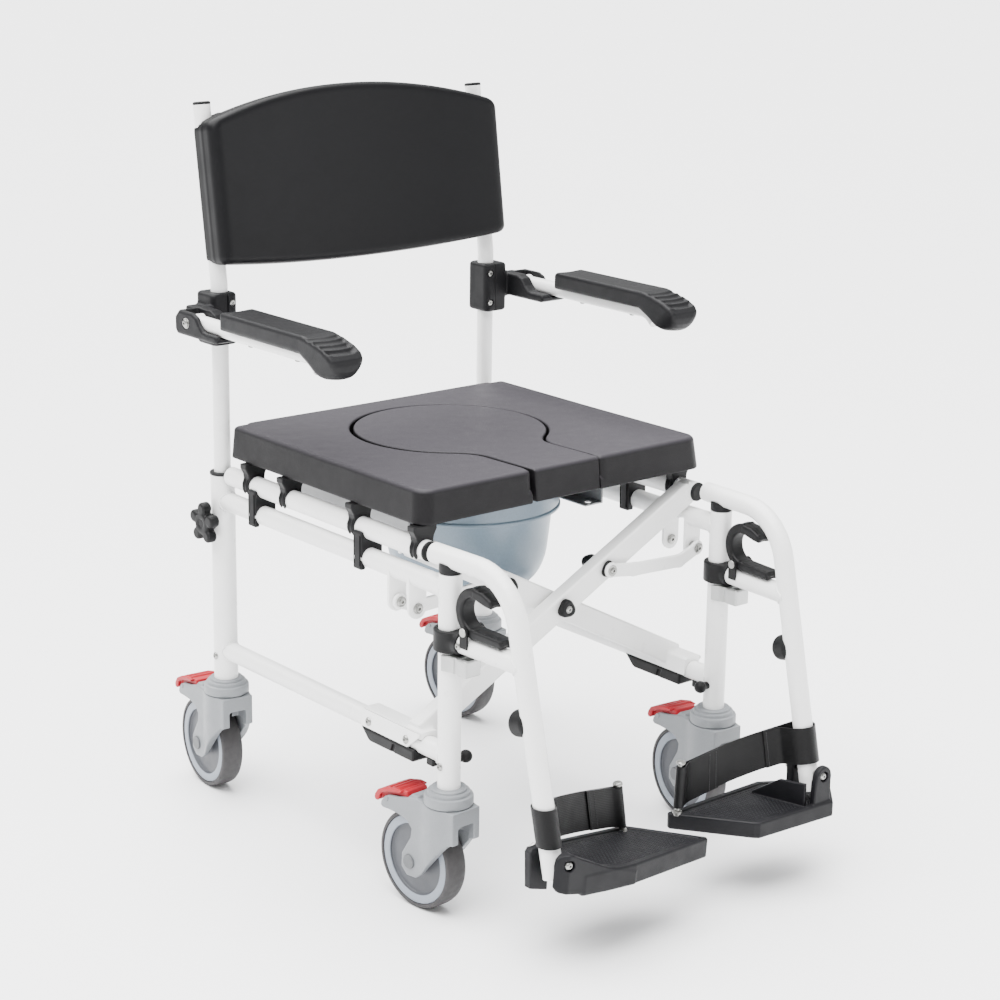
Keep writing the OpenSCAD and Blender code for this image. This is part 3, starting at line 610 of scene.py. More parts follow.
WHITE = coat()
BLACK = moulded("black_nylon", (14, 14, 15), (0.42, 0.56), 0.12, 1300, spec=0.18, wear=0.25, wear_col=lin(38, 38, 40)).m
CLAMPB = moulded("black_nylon_coarse", (15, 15, 17), (0.46, 0.6), 0.1, 900, 0.00018, 0.45, spec=0.17, wear=0.3, wear_col=lin(46, 46, 48)).m
# the seat gets a painted lighter top: its upward faces are blended up to 7.4 times paler than its sides
SEAT = moulded("seat_skin_foam", (14, 13, 15), (0.44, 0.54), 0.05, 780, 0.00028, 0.5, 7.0, spec=0.17, wear=0.2, wear_col=lin(40, 40, 42), painted_top_light=1.0, pale=7.4).m
BACK = moulded("back_skin_foam", (11, 11, 13), (0.38, 0.46), 0.06, 950, 0.00010, 0.25, 6.0, spec=0.14, wear=0.2, wear_col=lin(32, 32, 34)).m
PAD = moulded("arm_pad_skin_foam", (14, 14, 16), (0.46, 0.56), 0.07, 850, 0.00022, 0.5, 11.0, spec=0.19, wear=0.25, wear_col=lin(48, 48, 50)).m
PLATE = moulded("footplate_nylon", (14, 14, 17), (0.44, 0.56), 0.1, 1000, 0.00016, 0.45, 9.0, spec=0.18, wear=0.3, wear_col=lin(46, 46, 50)).m
FORK = moulded("caster_grey_nylon", (118, 121, 124), (0.4, 0.54), 0.05, 1100, 0.00012, 0.3, 14.0, wear=0.3, wear_col=lin(146, 149, 152)).m
FORKCAP = moulded("caster_cap_grey", (84, 86, 88), (0.4, 0.55), 0.06, 1100).m
RIM = moulded("wheel_ring_grey", (130, 137, 147), (0.38, 0.5), 0.05, 1200, 0.0001, 0.25).m
HUBD = moulded("wheel_disc_grey", (72, 74, 79), (0.42, 0.56), 0.08, 1100).m
TYRE = moulded("tyre_rubber", (46, 44, 45), (0.55, 0.72), 0.12, 700, 0.0002, 0.5, 20.0).m
RED = moulded("pedal_red", (158, 18, 32), (0.38, 0.52), 0.06, 1100, 0.0001, 0.3, spec=0.3, wear=0.2, wear_col=lin(196, 78, 88)).m
RUBBER = moulded("black_rubber", (26, 26, 27), (0.5, 0.68), 0.15, 900).m
STEEL = metal("zinc_steel", (150, 150, 147), (0.24, 0.42)).m
ALLOY = metal("cast_alloy", (172, 173, 172), (0.32, 0.5), metallic=0.85).m
SHEETM = metal("rail_sheet_steel", (150, 151, 152), (0.4, 0.56), brushed=(1, 0.05, 1), metallic=0.45).m
WEB = webbing()
THREAD = moulded("black_thread", (34, 34, 36), (0.5, 0.7), 0.2, 2500).m
BUCKET = bucket_mat()


def cad_look(mat, *names):
    for k in names:
        me = nodes[k].data
        me.materials.clear()
        me.materials.append(mat)


cad_look(WHITE, "right_side_frame", "left_side_frame", "right_seat_rail", "left_seat_rail", "back_tubes",
         "right_hanger", "left_hanger")
cad_look(SHEETM, "bucket_rails")

# ======================================================================
# seat and lid
# ======================================================================
SEAT_TOP, SEAT_BOT = 521.0, 479.0


def dish(x, y):
    """How far the top of the seat is hollowed."""
    return 2.6 * np.exp(-(((x / 190) ** 2 + ((y - 10) / 175) ** 2) ** 2))


def seat_plan(x, y, t):
    r = np.where(y < 10, 20 + 5 * t, 9.0)
    a, b = np.abs(x) - 229 + r, np.abs(y - 10) - 206 + r
    d = np.minimum(np.maximum(a, b), 0) + ln(np.maximum(a, 0), np.maximum(b, 0)) - r + 4.6 * t
    # the rear corners are set back where the posts stand
    return smax(d, np.minimum(y - 206, np.abs(x) - 203), 5.0)


def keyhole(x, y, r, half):
    a = ln(x, y - 40) - r
    b = np.maximum(np.abs(x) - half, np.maximum(y - 40, -300 - y))
    return smin(a, b, 26.0)


def seat_pan(p):
    x, y, z = p.T
    t = np.clip((z - SEAT_BOT) / 42, 0, 1)
    r = 5.6
    a = seat_plan(x, y, t) + r
    b = z - (SEAT_TOP - dish(x, y)) + r
    d = np.minimum(np.maximum(a, b), 0) + ln(np.maximum(a, 0), np.maximum(b, 0)) - r
    d = smax(d, SEAT_BOT + 0.2 - z, 2.5)
    k = 3.2 + 6 * np.clip((-176 - y) / 16, 0, 1)
    h = np.maximum(k - np.abs(d + np.maximum(keyhole(x + 2.3, y + 1.6, 128.8, 55.2), 497 - z)), 0) / k
    e = -np.maximum(keyhole(x + 2.3, y + 1.6, 128.8, 55.2), 497 - z)
    d = np.maximum(d, e) + h * h * k * 0.25
    d = smax(d, -keyhole(x + 2.3, y + 1.6, 111, 55.2), 1.5)
    return d


def seat_lid(p):
    x, y, z = p.T
    t = np.clip((z - SEAT_BOT) / 42, 0, 1)
    plan = smax(keyhole(x, y, 125, 52), (-195.5 + 4.6 * t) - y, 3.0)
    r = 2.8
    crown = 0.8 * np.clip(1 - (x * x + (y - 40) ** 2) / 125 ** 2, 0, 1)
    top = SEAT_TOP - dish(x, y) + crown
    front = 5.6
    a, b = plan + r, z - top + r
    slab = np.minimum(np.maximum(a, b), 0) + ln(np.maximum(a, 0), np.maximum(b, 0)) - r
    # the front edge is as round as the seat's
    slab = smax(slab, ln(np.maximum((-195.5 + 4.6 * t) - y + front, 0), np.maximum(z - top + front, 0)) - front, 0.5)
    skirt = np.maximum(np.maximum(y + 165, SEAT_BOT + 1.2 - z), np.abs(x) - 52)
    lower = np.where(y < -150, np.minimum(497.3 - z, skirt), 497.3 - z)
    return smax(slab, lower, 1.2)


put("seat_pan_moulding", net(seat_pan, (-229, -196, 479), (229, 216, 521), 1.9), "seat", SEAT, "seat_pan")
put("seat_lid_moulding", net(seat_lid, (-125, -196, 480), (125, 165, 521), 1.7), "seat_lid", SEAT, "seat_lid")

# clips that hold the seat on its rails: two ridged bands and a flared head
CLIP_HEAD = [(-11.5, 6), (11.5, 6), (13, 16), (17.2, 24), (17.2, 29.9), (-17.2, 29.9), (-17.2, 24), (-13, 16)]


def clip(p):
    x, y, z = p.T
    ridge = 14.1 + 1.7 * np.exp(-((np.abs(y) - 3.7) / 1.7) ** 2)
    ring = np.maximum(ln(x, z) - ridge, np.abs(y) - 6.8)
    head = ext(rpoly(CLIP_HEAD, 1.2), "y", -6.8, 6.8, 1.2)(p)
    d = smin(ring, head, 2.0)
    d = np.maximum(d, 12.75 - ln(x, z))
    d = smax(d, -np.maximum(np.abs(x) - 11.0, z + 2.0), 1.0)
    return smax(d, -10.8 - z, 0.8)


one = net(clip, (-17.5, -7, -11), (17.5, 7, 30), 0.9)
clips = [moved(one, at(-SX, y, 449)) for y in (169, 87, -59, -183)] + [moved(one, at(SX, y, 449)) for y in (169, 87, -59, -158)]
put("seat_clip_mouldings", joined(clips), "seat", BLACK, "seat_clips")

# ======================================================================
# bucket
# ======================================================================
def bucket():
    D = 121.0
    p = [(0, -D + 2), (52, -D + 2), (55, -D), (62, -D), (71, -D + 1.9), (79, -D + 5), (85.6, -D + 9.4), (91, -D + 15), (95.5, -D + 22), (99, -D + 30)]
    p += [(101.7, -D + 38.5), (103.5, -D + 47), (109.4, -20), (109.8, -18), (111, -16.6)]
    p += [(118.6, -16.5), (119.7, -16.0), (120, -15.0), (120, -13.2), (119.6, -12.2), (118.9, -11.6), (118.2, -10.8)]
    p += [(118.5, 12.4), (119.3, 13.0), (119.4, 14.2), (118.8, 14.9), (117.6, 15), (116.4, 14.9), (115.7, 14.0), (115.5, -10.5), (114.4, -12.6), (108.4, -13.4), (107, -15)]
    p += [(100, -D + 47.5), (98.3, -D + 39.5), (95.7, -D + 31.5), (92.4, -D + 24), (88, -D + 17.6), (83.2, -D + 12.4), (77.5, -D + 8.3), (70, -D + 5.2), (62, -D + 3.6), (0, -D + 3.5)]
    return lathe(p, 144)


put("bucket_moulding", moved(bucket(), at(0, 2, 443)), "bucket", BUCKET, "commode_bucket", sharp=40)

# ======================================================================
# back panel, in the leaning frame of the back
# ======================================================================
LEAN = at(0, YR, 700, ("X", -8.3))


def back_panel(p):
    x, y, z = p.T
    plan = smin(rrect(-233, -42, 233, 2, 17)(x, y), rrect(-233, -18, 233, 7, 5)(x, y), 2.0)
    top = ln(x, z + 502) - 745
    bottom = ln(x, z - 2414) - 2400
    front = 1330 - ln(x, y + 1352)
    d = smax(plan, front, 14)
    d = smax(d, top, 13)
    d = smax(d, bottom, 11)
    relief = np.maximum(np.abs(x) - 196, -8 - y)
    d = smax(d, -relief, 5)
    groove = ln(np.abs(x) - 220, y) - 11.25
    return smax(d, -groove, 1.2)


put("back_panel_moulding", moved(net(back_panel, (-233, -42, 12), (233, 7, 244), 1.9), LEAN), "back", BACK, "back_panel")

caps = []
for s in (-1, 1):
    cap = lathe([(0, 0), (10.9, 0), (11.3, 0.5), (11.3, 2.4), (10.6, 3.4), (8.5, 3.9), (0, 4.0)], 48)
    caps.append(moved(cap, LEAN @ at(s * X, 0, 227.05)))
put("back_tube_end_caps", joined(caps), "back", BLACK, "back_tube_caps")

# ======================================================================
# arms: clamp, pad, screws
# ======================================================================
AZ = 657.5
STEP = {"right": 3.5, "left": -3.5}
HOUSING = [(235, -16.5), (240, -11), (240, 6), (231, 15), (200, 15), (190, 11), (183, 2), (176, -4), (168, -5.5), (147, -5.5), (144, -9), (145, -14), (150, -16.5)]


def clamp(p):
    """Drawn for the right arm, with z from the arm's axis."""
    x, y, z = p.T
    block = ext(rrect(-243, 218.2, -205, 262, 9), "z", -37, 30, 4.5)(p)
    # the inner half of the collar stands a little prouder than the outer one
    step = np.maximum(np.maximum(-243.5 - x, x + 221.2), y - 219.6)
    block = smax(block, -step, 1.0)
    seam = np.maximum(np.abs(x + 220.6) - 0.7, np.maximum(y - 221.0, -(z + 60)))
    block = smax(block, -seam, 0.8)
    waist = ext(rrect(-262, 224, -236, 256, 4), "z", -16, 14, 3.0)(p)
    house = ext(rpoly(HOUSING, 3.4), "x", -288, -243, 4.4)(p)
    d = smin(smin(block, waist, 6.0), house, 6.0)
    d = np.maximum(d, 11.05 - ln(x + 220, y - 240))
    slot = rbox((-281.5, 60, -10.4), (-260.5, 226.5, 80), 4.0)(p)
    d = smax(d, -slot, 2.4)
    # counterbores
    bore = np.maximum(ln(y - 214, z) - 7.4, x + 286.2)
    d = smax(d, -bore, 0.8)
    for zz in (-24, 17):
        hole = np.maximum(ln(x + 213, z - zz) - 4.8, np.maximum(y - 224, 200 - y))
        d = smax(d, -hole, 0.8)
    return d


one = net(clamp, (-288, 144, -37), (-205, 262, 30), 1.05)
PAD_SIDE = [(125, -23), (125, -3), (121, 0), (-50, 0), (-71, -3.5), (-91, -9), (-103, -14.8), (-109.5, -21.5), (-111, -28), (-111, -36),
            (-107.5, -43), (-100, -46.8), (-90, -46.2), (-77, -41.5), (-62, -32), (-44, -23)]


def arm_axis(r):
    a = math.radians(40)
    pts = [(-271, 214, 0), (-271, -30, 0)]
    pts += [(-271, -30 - 30 * math.sin(a * i / 5), -30 + 30 * math.cos(a * i / 5)) for i in range(1, 6)]
    e = pts[-1]
    pts.append((-271, e[1] - 6 * math.cos(a), e[2] - 6 * math.sin(a)))
    return union(*[capsule(a_, b_, r) for a_, b_ in zip(pts[:-1], pts[1:])])


ARM_BORE = arm_axis(10.05)
FLUTES = [(-68, -2.9, -0.6), (-80, -5.9, 0.6), (-91.5, -9.2, 0.9), (-102, -14.2, 1.2)]


def pad(p):
    """Right arm pad, with z from the arm's axis; its top is 29.5 above that."""
    x, y, z = p.T
    side = ext(rpoly([(a, b + 29.5) for a, b in PAD_SIDE], 3.0), "x", -298, -244, 6.0)(p)
    # the drooping nose ends round, like a thumb
    s = -(y + 90.5) * 0.67 - (z - 6.6) * 0.742
    plan = np.where(s > 0, ln(x + 271, s) - 27, np.abs(x + 271) - 27)
    d = smax(side, plan, 7.0)
    # slightly hollowed top
    d = d + 0.9 * np.exp(-(((x + 271) / 15) ** 2)) * np.clip((z - 20) / 8, 0, 1) * np.clip((y + 40) / 30, 0, 1)
    # curved flutes over the drooping nose
    for i, (fy, fz, drop) in enumerate(FLUTES):
        bow = 0.010 * (x + 271) ** 2
        reach = np.maximum(np.abs(x + 273) - (21 - 2.0 * i), 0)
        c = ln(y - fy - bow * 0.7, z - (29.5 + fz + 4.2) + reach * -0.55)
        d = smax(d, -(c - 6.4), 1.3)
    return smax(d, -ARM_BORE(p), 0.8)


pad_one = net(pad, (-298, -111, -18), (-244, 125, 30), 1.15)


def arm_tube():
    a = math.radians(40)
    pts = [(-271, 214, 0), (-271, 120, 0), (-271, 40, 0), (-271, -30, 0)]
    pts += [(-271, -30 - 30 * math.sin(a * i / 10), -30 + 30 * math.cos(a * i / 10)) for i in range(1, 11)]
    e = pts[-1]
    pts.append((-271, e[1] - 9 * math.cos(a), e[2] - 9 * math.sin(a)))
    barrel = lathe([(0, -9.4), (9.5, -9.4), (10, -8.9), (10, 8.9), (9.5, 9.4), (0, 9.4)], 48)
    return joined([tube_path(pts, 10.0, 40), moved(barrel, at(-271, 214, 0) @ along((1, 0, 0)))])


tube_one = arm_tube()
for side in ("right", "left"):
    def hand(s, side=side):
        s = moved(s, at(0, 0, AZ + STEP[side]))
        return s if side == "right" else mirrored(s)

    put(side + "_arm_clamp_moulding", hand(one), "back", CLAMPB, side + "_arm_clamp")
    o = put(side + "_arm_pad_moulding", hand(pad_one), side + "_arm", PAD, side + "_arm_pad")
    # small screws under the arm tube that hold the pad
    under = [moved(screw(3.6, 2.0, 2.6), at(-271, y, -9.7, ("X", 180))) for y in (92, -8)]
    put(side + "_arm_pad_screws", hand(joined(under)), side + "_arm", STEEL)
    put(side + "_arm_bent_tube", hand(tube_one), side + "_arm", WHITE, side + "_arm_tube")

screws = []
for side in ("right", "left"):
    parts = [moved(screw(5.4, 3.2, 3.4, 4.0, 3.0, 0.5), at(-287.2, 214, 0) @ along((-1, 0, 0)))]
    washer = lathe([(4.2, 0), (6.8, 0), (7.0, 0.3), (7.0, 0.9), (6.8, 1.2), (4.2, 1.2)], 40)
    parts.append(moved(washer, at(-286.3, 214, 0) @ along((-1, 0, 0))))
    for zz in (-24, 17):
        parts.append(moved(screw(3.9, 3.0, 2.7, 2.6, 4.0, 0.2), at(-213, 222.0, zz) @ along((0, -1, 0))))
    s = moved(joined(parts), at(0, 0, AZ + STEP[side]))
    screws.append(s if side == "right" else mirrored(s))
put("arm_clamp_socket_screws", joined(screws), "back", STEEL, "arm_clamp_screws")

# five-lobed clamping knobs on the rear posts
def knob(p):
    x, y, z = p.T
    a = np.arctan2(y, x)
    s = np.round(a / (2 * math.pi / 5)) * (2 * math.pi / 5)
    u, w = x * np.cos(s) + y * np.sin(s), -x * np.sin(s) + y * np.cos(s)
    flat = smin(ln(x, y) - 15, ln(u - 19.5, w) - 8.3, 5.0)
    d = flat + 4.0
    h = np.abs(z - 29) - 7 + 4.0
    body = np.minimum(np.maximum(d, h), 0) + ln(np.maximum(d, 0), np.maximum(h, 0)) - 4.0
    neck = ext(disc(0, 0, 11), "z", 17.2, 26, 1.0)(p)
    stud = ext(disc(0, 0, 3.9), "z", 11.6, 20, 0.3)(p)
    d = np.minimum(smin(body, neck, 3.0), stud)
    # dished front with a round boss
    d = smax(d, -(ln(x, y, z - 47.0) - 13.0), 1.2)
    return np.minimum(d, ext(disc(0, 0, 5.2), "z", 30, 35.3, 1.2)(p))


one = moved(net(knob, (-29, -29, 11), (29, 29, 36.5), 1.0), at(-X, YR, 387) @ along((-1, 0, 0)))
put("right_star_knob_moulding", one, "right_knob", BLACK, "right_star_knob")
put("left_star_knob_moulding", mirrored(one), "left_knob", BLACK, "left_star_knob")

# ======================================================================
# frame: braces, sleeves, saddles, blocks, links, catches, plugs, screws, welds
# ======================================================================
RISE = math.atan2(449 - 218, SX + X)
BRACE_L = math.hypot(SX + X, 449 - 218)


def brace(y0, y1):
    """Square tube rising from the right lower rail to the left seat rail, with its sleeve."""
    ca, sa = math.cos(RISE), math.sin(RISE)

    def f(p):
        x, y, z = p.T
        u, w = (x + X) * ca + (z - 218) * sa, -(x + X) * sa + (z - 218) * ca
        bar = rrect(y0, -15, y1, 15, 3.2)(y, w)
        bar = np.maximum(bar, np.maximum(-u, u - BRACE_L))
        # cut round the seat rail, with a weld fillet
        bar = np.maximum(bar, 12.52 - ln(x - SX, z - 449))
        bar = np.maximum(bar, np.maximum(x - SX, -500))
        cover = ext(rrect(-X - 17, 180, -X + 17, 225, 8.0), "y", -200, -85, 0.8)(p)
        # the top is a flat fold and the sides lean in a little
        lean_in = np.abs(x + X) - 17 + np.clip((z - 198) * 0.10, 0, 3.0)
        cover = smax(cover, lean_in, 1.0)
        d = smin(bar, cover, 5.0)
        d = np.maximum(d, -X - 17.0 - x)
        d = np.maximum(d, 202.0 - z)
        # the outer wall has its lower front corner cut off
        corner = np.maximum((-(y + 178) * 0.66 - (z - 201) * 0.75), x + X + 12.6)
        d = smax(d, np.where(x + X < -11, corner, -50.0), 1.0)
        d = np.maximum(d, 12.6 - ln(x + X, z - 207))
        return np.maximum(d, -np.maximum(np.abs(x + X) - 12.6, z - 207))

    return f


for nm, y0, y1, flip in (("front", -190, -169.5, False), ("rear", -167, -146.5, True)):
    s = net(brace(y0, y1), (-237, -200, 202), (SX, -85, 456), 1.45)
    put(nm + "_cross_brace_tube", mirrored(s) if flip else s, "frame", WHITE, nm + "_cross_brace")

BLOCK_SIDE = [(-192, 189), (-189, 186), (-104, 186), (-100, 188), (-86.5, 201.4), (-86.5, 201.9), (-192, 201.9)]


def bearing(p):
    x, y, z = p.T
    d = ext(rpoly(BLOCK_SIDE, 0.9), "x", -16.9, 16.9, 3.0)(p)
    # one slot in each side and a small stop nearer the post
    rib = np.maximum(np.maximum(np.abs(y + 152 + (z - 192) * 0.35) - 3.4, 14.6 - np.abs(x)), z - 198)
    d = smax(d, -rib, 0.8)
    d = np.minimum(d, rbox((-8, -219, 187), (8, -206, 199), 1.6)(p))
    return np.maximum(d, 12.6 - ln(x, z - 207))


one = net(bearing, (-17, -219, 186), (17, -86, 202), 1.0)
put("brace_bearing_mouldings", joined([moved(one, at(s * X, 0, 0)) for s in (-1, 1)]), "frame", BLACK, "brace_bearing_blocks")


def saddle(p):
    x, y, z = p.T
    d = rbox((-16.5, -8.5, 400), (16.5, 8.5, 448), 2.2)(p)
    # raised rib on each outer face
    d = smax(d, -np.maximum(np.maximum(14.8 - np.abs(x), np.abs(np.abs(y) - 6.2) - 1.0), np.abs(z - 424) - 19), 0.8)
    d = np.maximum(d, 12.6 - ln(x, z - 449))
    d = np.maximum(d, 12.6 - ln(x + 2.0, z - 414))
    return np.maximum(d, -np.maximum(np.abs(x + 2.0) - 8.2, z - 414))


one = net(saddle, (-17, -9, 400), (17, 9, 448), 1.0)
parts = []
for y in (152, -76):
    parts += [moved(one, at(-SX, y, 0)), mirrored(moved(one, at(-SX, y, 0)))]
put("seat_rail_saddle_mouldings", joined(parts), "frame", BLACK, "seat_rail_saddles")

LINK_Z = 334 + 0.0
CROSS_Z = 218 + X * math.tan(RISE)
LINK_Z = CROSS_Z + 71 * math.tan(RISE)


def link(y0, y1):
    pts = [(X, 374), (X - 30, 362), (110, LINK_Z - 6), (71, LINK_Z)]

    def f2(u, v):
        d = np.full(len(u), 1e9)
        for (ax, az), (bx, bz) in zip(pts[:-1], pts[1:]):
            e = np.array([bx - ax, bz - az])
            t = np.clip(((u - ax) * e[0] + (v - az) * e[1]) / (e @ e), 0, 1)
            d = smin(d, ln(u - ax - t * e[0], v - az - t * e[1]) - 8.6, 3.0)
        for ax, az in (pts[0], pts[-1]):
            d = np.minimum(d, ln(u - ax, v - az) - 9.8)
            d = np.maximum(d, 4.1 - ln(u - ax, v - az))
        return d

    return ext(f2, "y", y0, y1, 1.4)


put("fold_link_bars", joined([net(link(-200.5, -196), (60, -200.5, 345), (231, -196, 385), 1.1),
                              mirrored(net(link(-145, -140), (60, -145, 345), (231, -140, 385), 1.1))]), "frame", WHITE, "fold_links")


def lobes(r, h):
    """Three-lobed cap, base at local z 0."""
    def f(p):
        x, y, z = p.T
        d = None
        for i in range(3):
            a = math.radians(120 * i + 90)
            c = ln(x - r * 0.50 * math.cos(a), y - r * 0.50 * math.sin(a)) - r * 0.5
            d = c if d is None else smin(d, c, r * 0.9)
        d = d + 3.2
        w = np.abs(z - h / 2) - h / 2 + 3.2
        d = np.minimum(np.maximum(d, w), 0) + ln(np.maximum(d, 0), np.maximum(w, 0)) - 3.2
        return smax(d, -(ln(x, y, z - h - 4.6) - 7.4), 0.8)

    return net(f, (-r, -r, 0), (r, r, h), 0.8)


big, small, flat, long = lobes(12.2, 11.0), lobes(10.2, 9.0), lobes(11.6, 5.8), lobes(12.0, 17.0)
lob = [moved(big, at(0, -190.1, CROSS_Z) @ along((0, -1, 0))), moved(big, at(0, -146.4, CROSS_Z) @ along((0, 1, 0))),
       moved(flat, at(71, -190.1, LINK_Z) @ along((0, -1, 0))), moved(long, at(71, -169.4, LINK_Z) @ along((0, 1, 0))), moved(small, at(-71, -167.1, LINK_Z) @ along((0, -1, 0)))]
put("brace_pivot_caps", joined(lob), "frame", BLACK, "brace_pivot_bolts")

steel = [moved(screw(4.8, 3.4, 3.6, 4.0, 3.0, 0.35), at(0, -198.6, CROSS_Z) @ along((0, -1, 0))),
         moved(screw(4.8, 3.4, 3.6, 4.0, 3.0, 0.35), at(0, -137.9, CROSS_Z) @ along((0, 1, 0)))]
spacer = lathe([(0, 0), (11.8, 0), (11.8, 2.2), (0, 2.2)], 40)
steel.append(moved(spacer, at(0, -169.4, CROSS_Z) @ along((0, 1, 0))))
steel.append(moved(screw(4.2, 3.0, 3.2, 4.0, 32.0, 0.35), at(71, -200.6, LINK_Z) @ along((0, -1, 0))))
steel.append(moved(screw(4.2, 3.0, 3.2, 4.0, 32.0, 0.35), at(-71, -139.9, LINK_Z) @ along((0, 1, 0))))
wash = lathe([(4.0, 0), (6.8, 0), (7.0, 0.3), (7.0, 0.9), (6.8, 1.2), (4.0, 1.2)], 36)
steel.append(moved(wash, at(71, -200.5, LINK_Z) @ along((0, -1, 0))))
steel.append(moved(wash, at(-71, -140.0, LINK_Z) @ along((0, 1, 0))))
put("brace_pivot_screws", joined(steel), "frame", STEEL)

# screws of the link brackets, the sleeves and the posts
fast = []
for x, ys, heads in ((-X, (-178.05, -174), ((-178.05, -1), (-173.95, 1))), (-X, (-145, -135), ((-145.05, -1), (-134.95, 1))),
                     (X, (-200.5, -186), ((-200.55, -1), (-185.95, 1))), (X, (-150, -146), ((-150.05, -1), (-145.95, 1)))):
    for y, s in heads:
        fast.append(moved(screw(6.6, 3.6, 4.0, 3.9, 3.0, 0.45), at(x, y, 374) @ along((0, s, 0))))
fast.append(moved(lathe([(4.1, 0), (6.9, 0), (6.9, 5.8), (4.1, 5.8)], 36), at(X, -190.1, 374) @ along((0, -1, 0))))
for s in (-1, 1):
    for y in (-176, -101):
        fast.append(moved(screw(5.4, 3.0, 3.2, 2.9, 3.0, 0.7), at(s * (X + 15.4), y, 211) @ along((s, 0, 0.10))))
    fast.append(moved(screw(4.9, 2.6, 3.0, 2.6, 3.0, 0.7), at(s * (X + 13.9), YF, 196) @ along((s, 0, 0))))
    fast.append(moved(screw(4.9, 2.6, 3.0, 2.6, 3.0, 0.7), at(s * (X + 15.9), YR, 200) @ along((s, 0, 0))))
put("frame_socket_screws", joined(fast), "frame", STEEL, "frame_fasteners")

# caps, collars and round buttons
plugs = []
for s in (-1, 1):
    cap = lathe([(0, 0), (12.3, 0), (12.3, 1.6), (11.6, 2.6), (9.8, 3.0), (8.0, 2.7), (0, 2.4)], 48)
    plugs.append(moved(cap, at(s * SX, -197, 449) @ along((0, -1, 0))))
    cap = lathe([(0, 0), (12.3, 0), (12.3, 1.0), (11.4, 1.8), (0, 2.0)], 48)
    plugs.append(moved(cap, at(s * SX, 221, 449) @ along((0, 1, 0))))
    ring = lathe([(11.05, -30), (13.9, -30), (13.9, 0.0), (16.4, 0.0), (16.8, 0.5), (16.8, 3.0), (16.2, 3.8), (15, 4.0), (11.8, 4.0), (11.05, 3.4)], 56)
    plugs.append(moved(ring, at(s * X, YR, 449)))
    ball = lathe([(0, 3.5), (5, 3.5), (5, 8.6)] + [(r, 16 + z) for r, z in arc(0, 0, 8, -52, 86, 12)] + [(0, 24)], 40)
    plugs.append(moved(ball, at(s * (X - 9.5), YF, 200) @ along((-s, 0, 0))))
put("frame_end_plugs", joined(plugs), "frame", BLACK, "frame_plugs", sharp=28)

# catch blocks of the footrests: a clamp round the post and a stepped nose with its hook notch
def catch(p):
    x, y, z = p.T
    ring = np.maximum(ext(disc(0, 0, 17.5), "z", 318, 338, 1.5)(p), y + 4.0)
    nose = ext(rpoly([(-12, -44), (12, -44), (12, -6), (-12, -6)], 3.0), "z", 318, 338, 1.6)(p)
    d = smin(ring, nose, 3.0)
    notch = rbox((-5.5, -40, 331), (5.5, -28, 350), 2.0)(p)
    d = smax(d, -notch, 1.2)
    side = np.maximum(np.maximum(np.abs(y + 24) - 2.2, 10.6 - np.abs(x)), -500)
    d = smax(d, -side, 1.0)
    return np.maximum(d, 14.05 - ln(x, y))


one = net(catch, (-18, -44, 318), (18, 18, 338), 1.0)
put("footrest_catch_castings", joined([moved(one, at(s * X, YF, 0)) for s in (-1, 1)]), "frame", ALLOY, "footrest_catches")

# stepped rings over the casters
ring = lathe([(0, 129), (7.6, 129), (8, 129.6), (8, 147.2), (28.6, 147.2), (29.7, 148), (30, 149), (30, 157.4), (29.2, 159.2), (27.4, 160), (26.3, 160.2),
              (26, 161), (26, 163), (25.2, 164.2), (23.4, 164.6), (22.2, 164.9), (22, 165.6), (22, 166.9), (21.2, 167.8), (20, 167.98), (10.9, 167.98), (10.9, 205), (0, 205)], 64)
put("caster_stem_rings", joined([moved(ring, at(sx * X, y, 0)) for sx in (-1, 1) for y in (YF, YR)]), "frame", FORK, "caster_stems", sharp=38)


# weld beads where rails meet posts and where the braces meet the seat rails
def bead(rail_r, post_r, r=1.7, n=120):
    """Bead on the crossing curve of a rail along +y that starts at a post on the z axis."""
    pts, rad = [], []
    for i in range(n):
        a = 2 * math.pi * i / n
        x, z = (rail_r + 0.2) * math.cos(a), (rail_r + 0.2) * math.sin(a)
        pts.append((x, math.sqrt(max(post_r * post_r - x * x, 0.01)) + 0.3, z))
        rad.append(r * (1 + 0.16 * math.sin(i * 2 * math.pi / n * 26) + 0.08 * math.sin(i * 2 * math.pi / n * 11 + 1)))
    return tube_path(pts, r, 8, True, rad)


welds = []
for s in (-1, 1):
    for z in (207, 414):
        welds.append(moved(bead(12.5, 14), at(s * X, YF, z)))
        welds.append(moved(bead(12.5, 16), at(s * X, YR, z, ("Z", 180))))
    # along the crossing of brace and seat rail
    y0, y1 = (-190, -169.5) if s > 0 else (-167, -146.5)
    for side in (-1, 1):
        pts, rad = [], []
        for i in range(28):
            w = -13.5 + 27 * i / 27
            # point on the rail surface where the brace's upper or lower face line meets it
            ang = math.pi + RISE
            c = np.array([SX, 449.0])
            off = np.array([-math.sin(RISE), math.cos(RISE)]) * w
            inn = np.array([-math.cos(RISE), -math.sin(RISE)]) * math.sqrt(max(12.6 ** 2 - w * w, 0.0) if abs(w) < 12.6 else 0.0)
            q = c + off + inn
            pts.append((s * q[0], y0 - 0.1 if side < 0 else y1 + 0.1, q[1]))
            rad.append(1.8 * (1 + 0.2 * math.sin(i * 1.9) + 0.1 * math.sin(i * 0.7)))
        welds.append(tube_path(pts, 1.8, 8, False, rad))
put("frame_weld_beads", joined(welds), "frame", WHITE, sharp=60)

# ======================================================================
# footrests
# ======================================================================
POST = at(-X, YF, 0, ("Z", 2.5))
T_LEAN = math.tan(math.radians(13.1))
LEG_P = (-117.18, 397.87)


def leg_at(z):
    """Centre of the right hanger's leg at height z."""
    v = POST @ Vector((0, LEG_P[0] - (LEG_P[1] - z) * T_LEAN, z))
    return np.array(v)


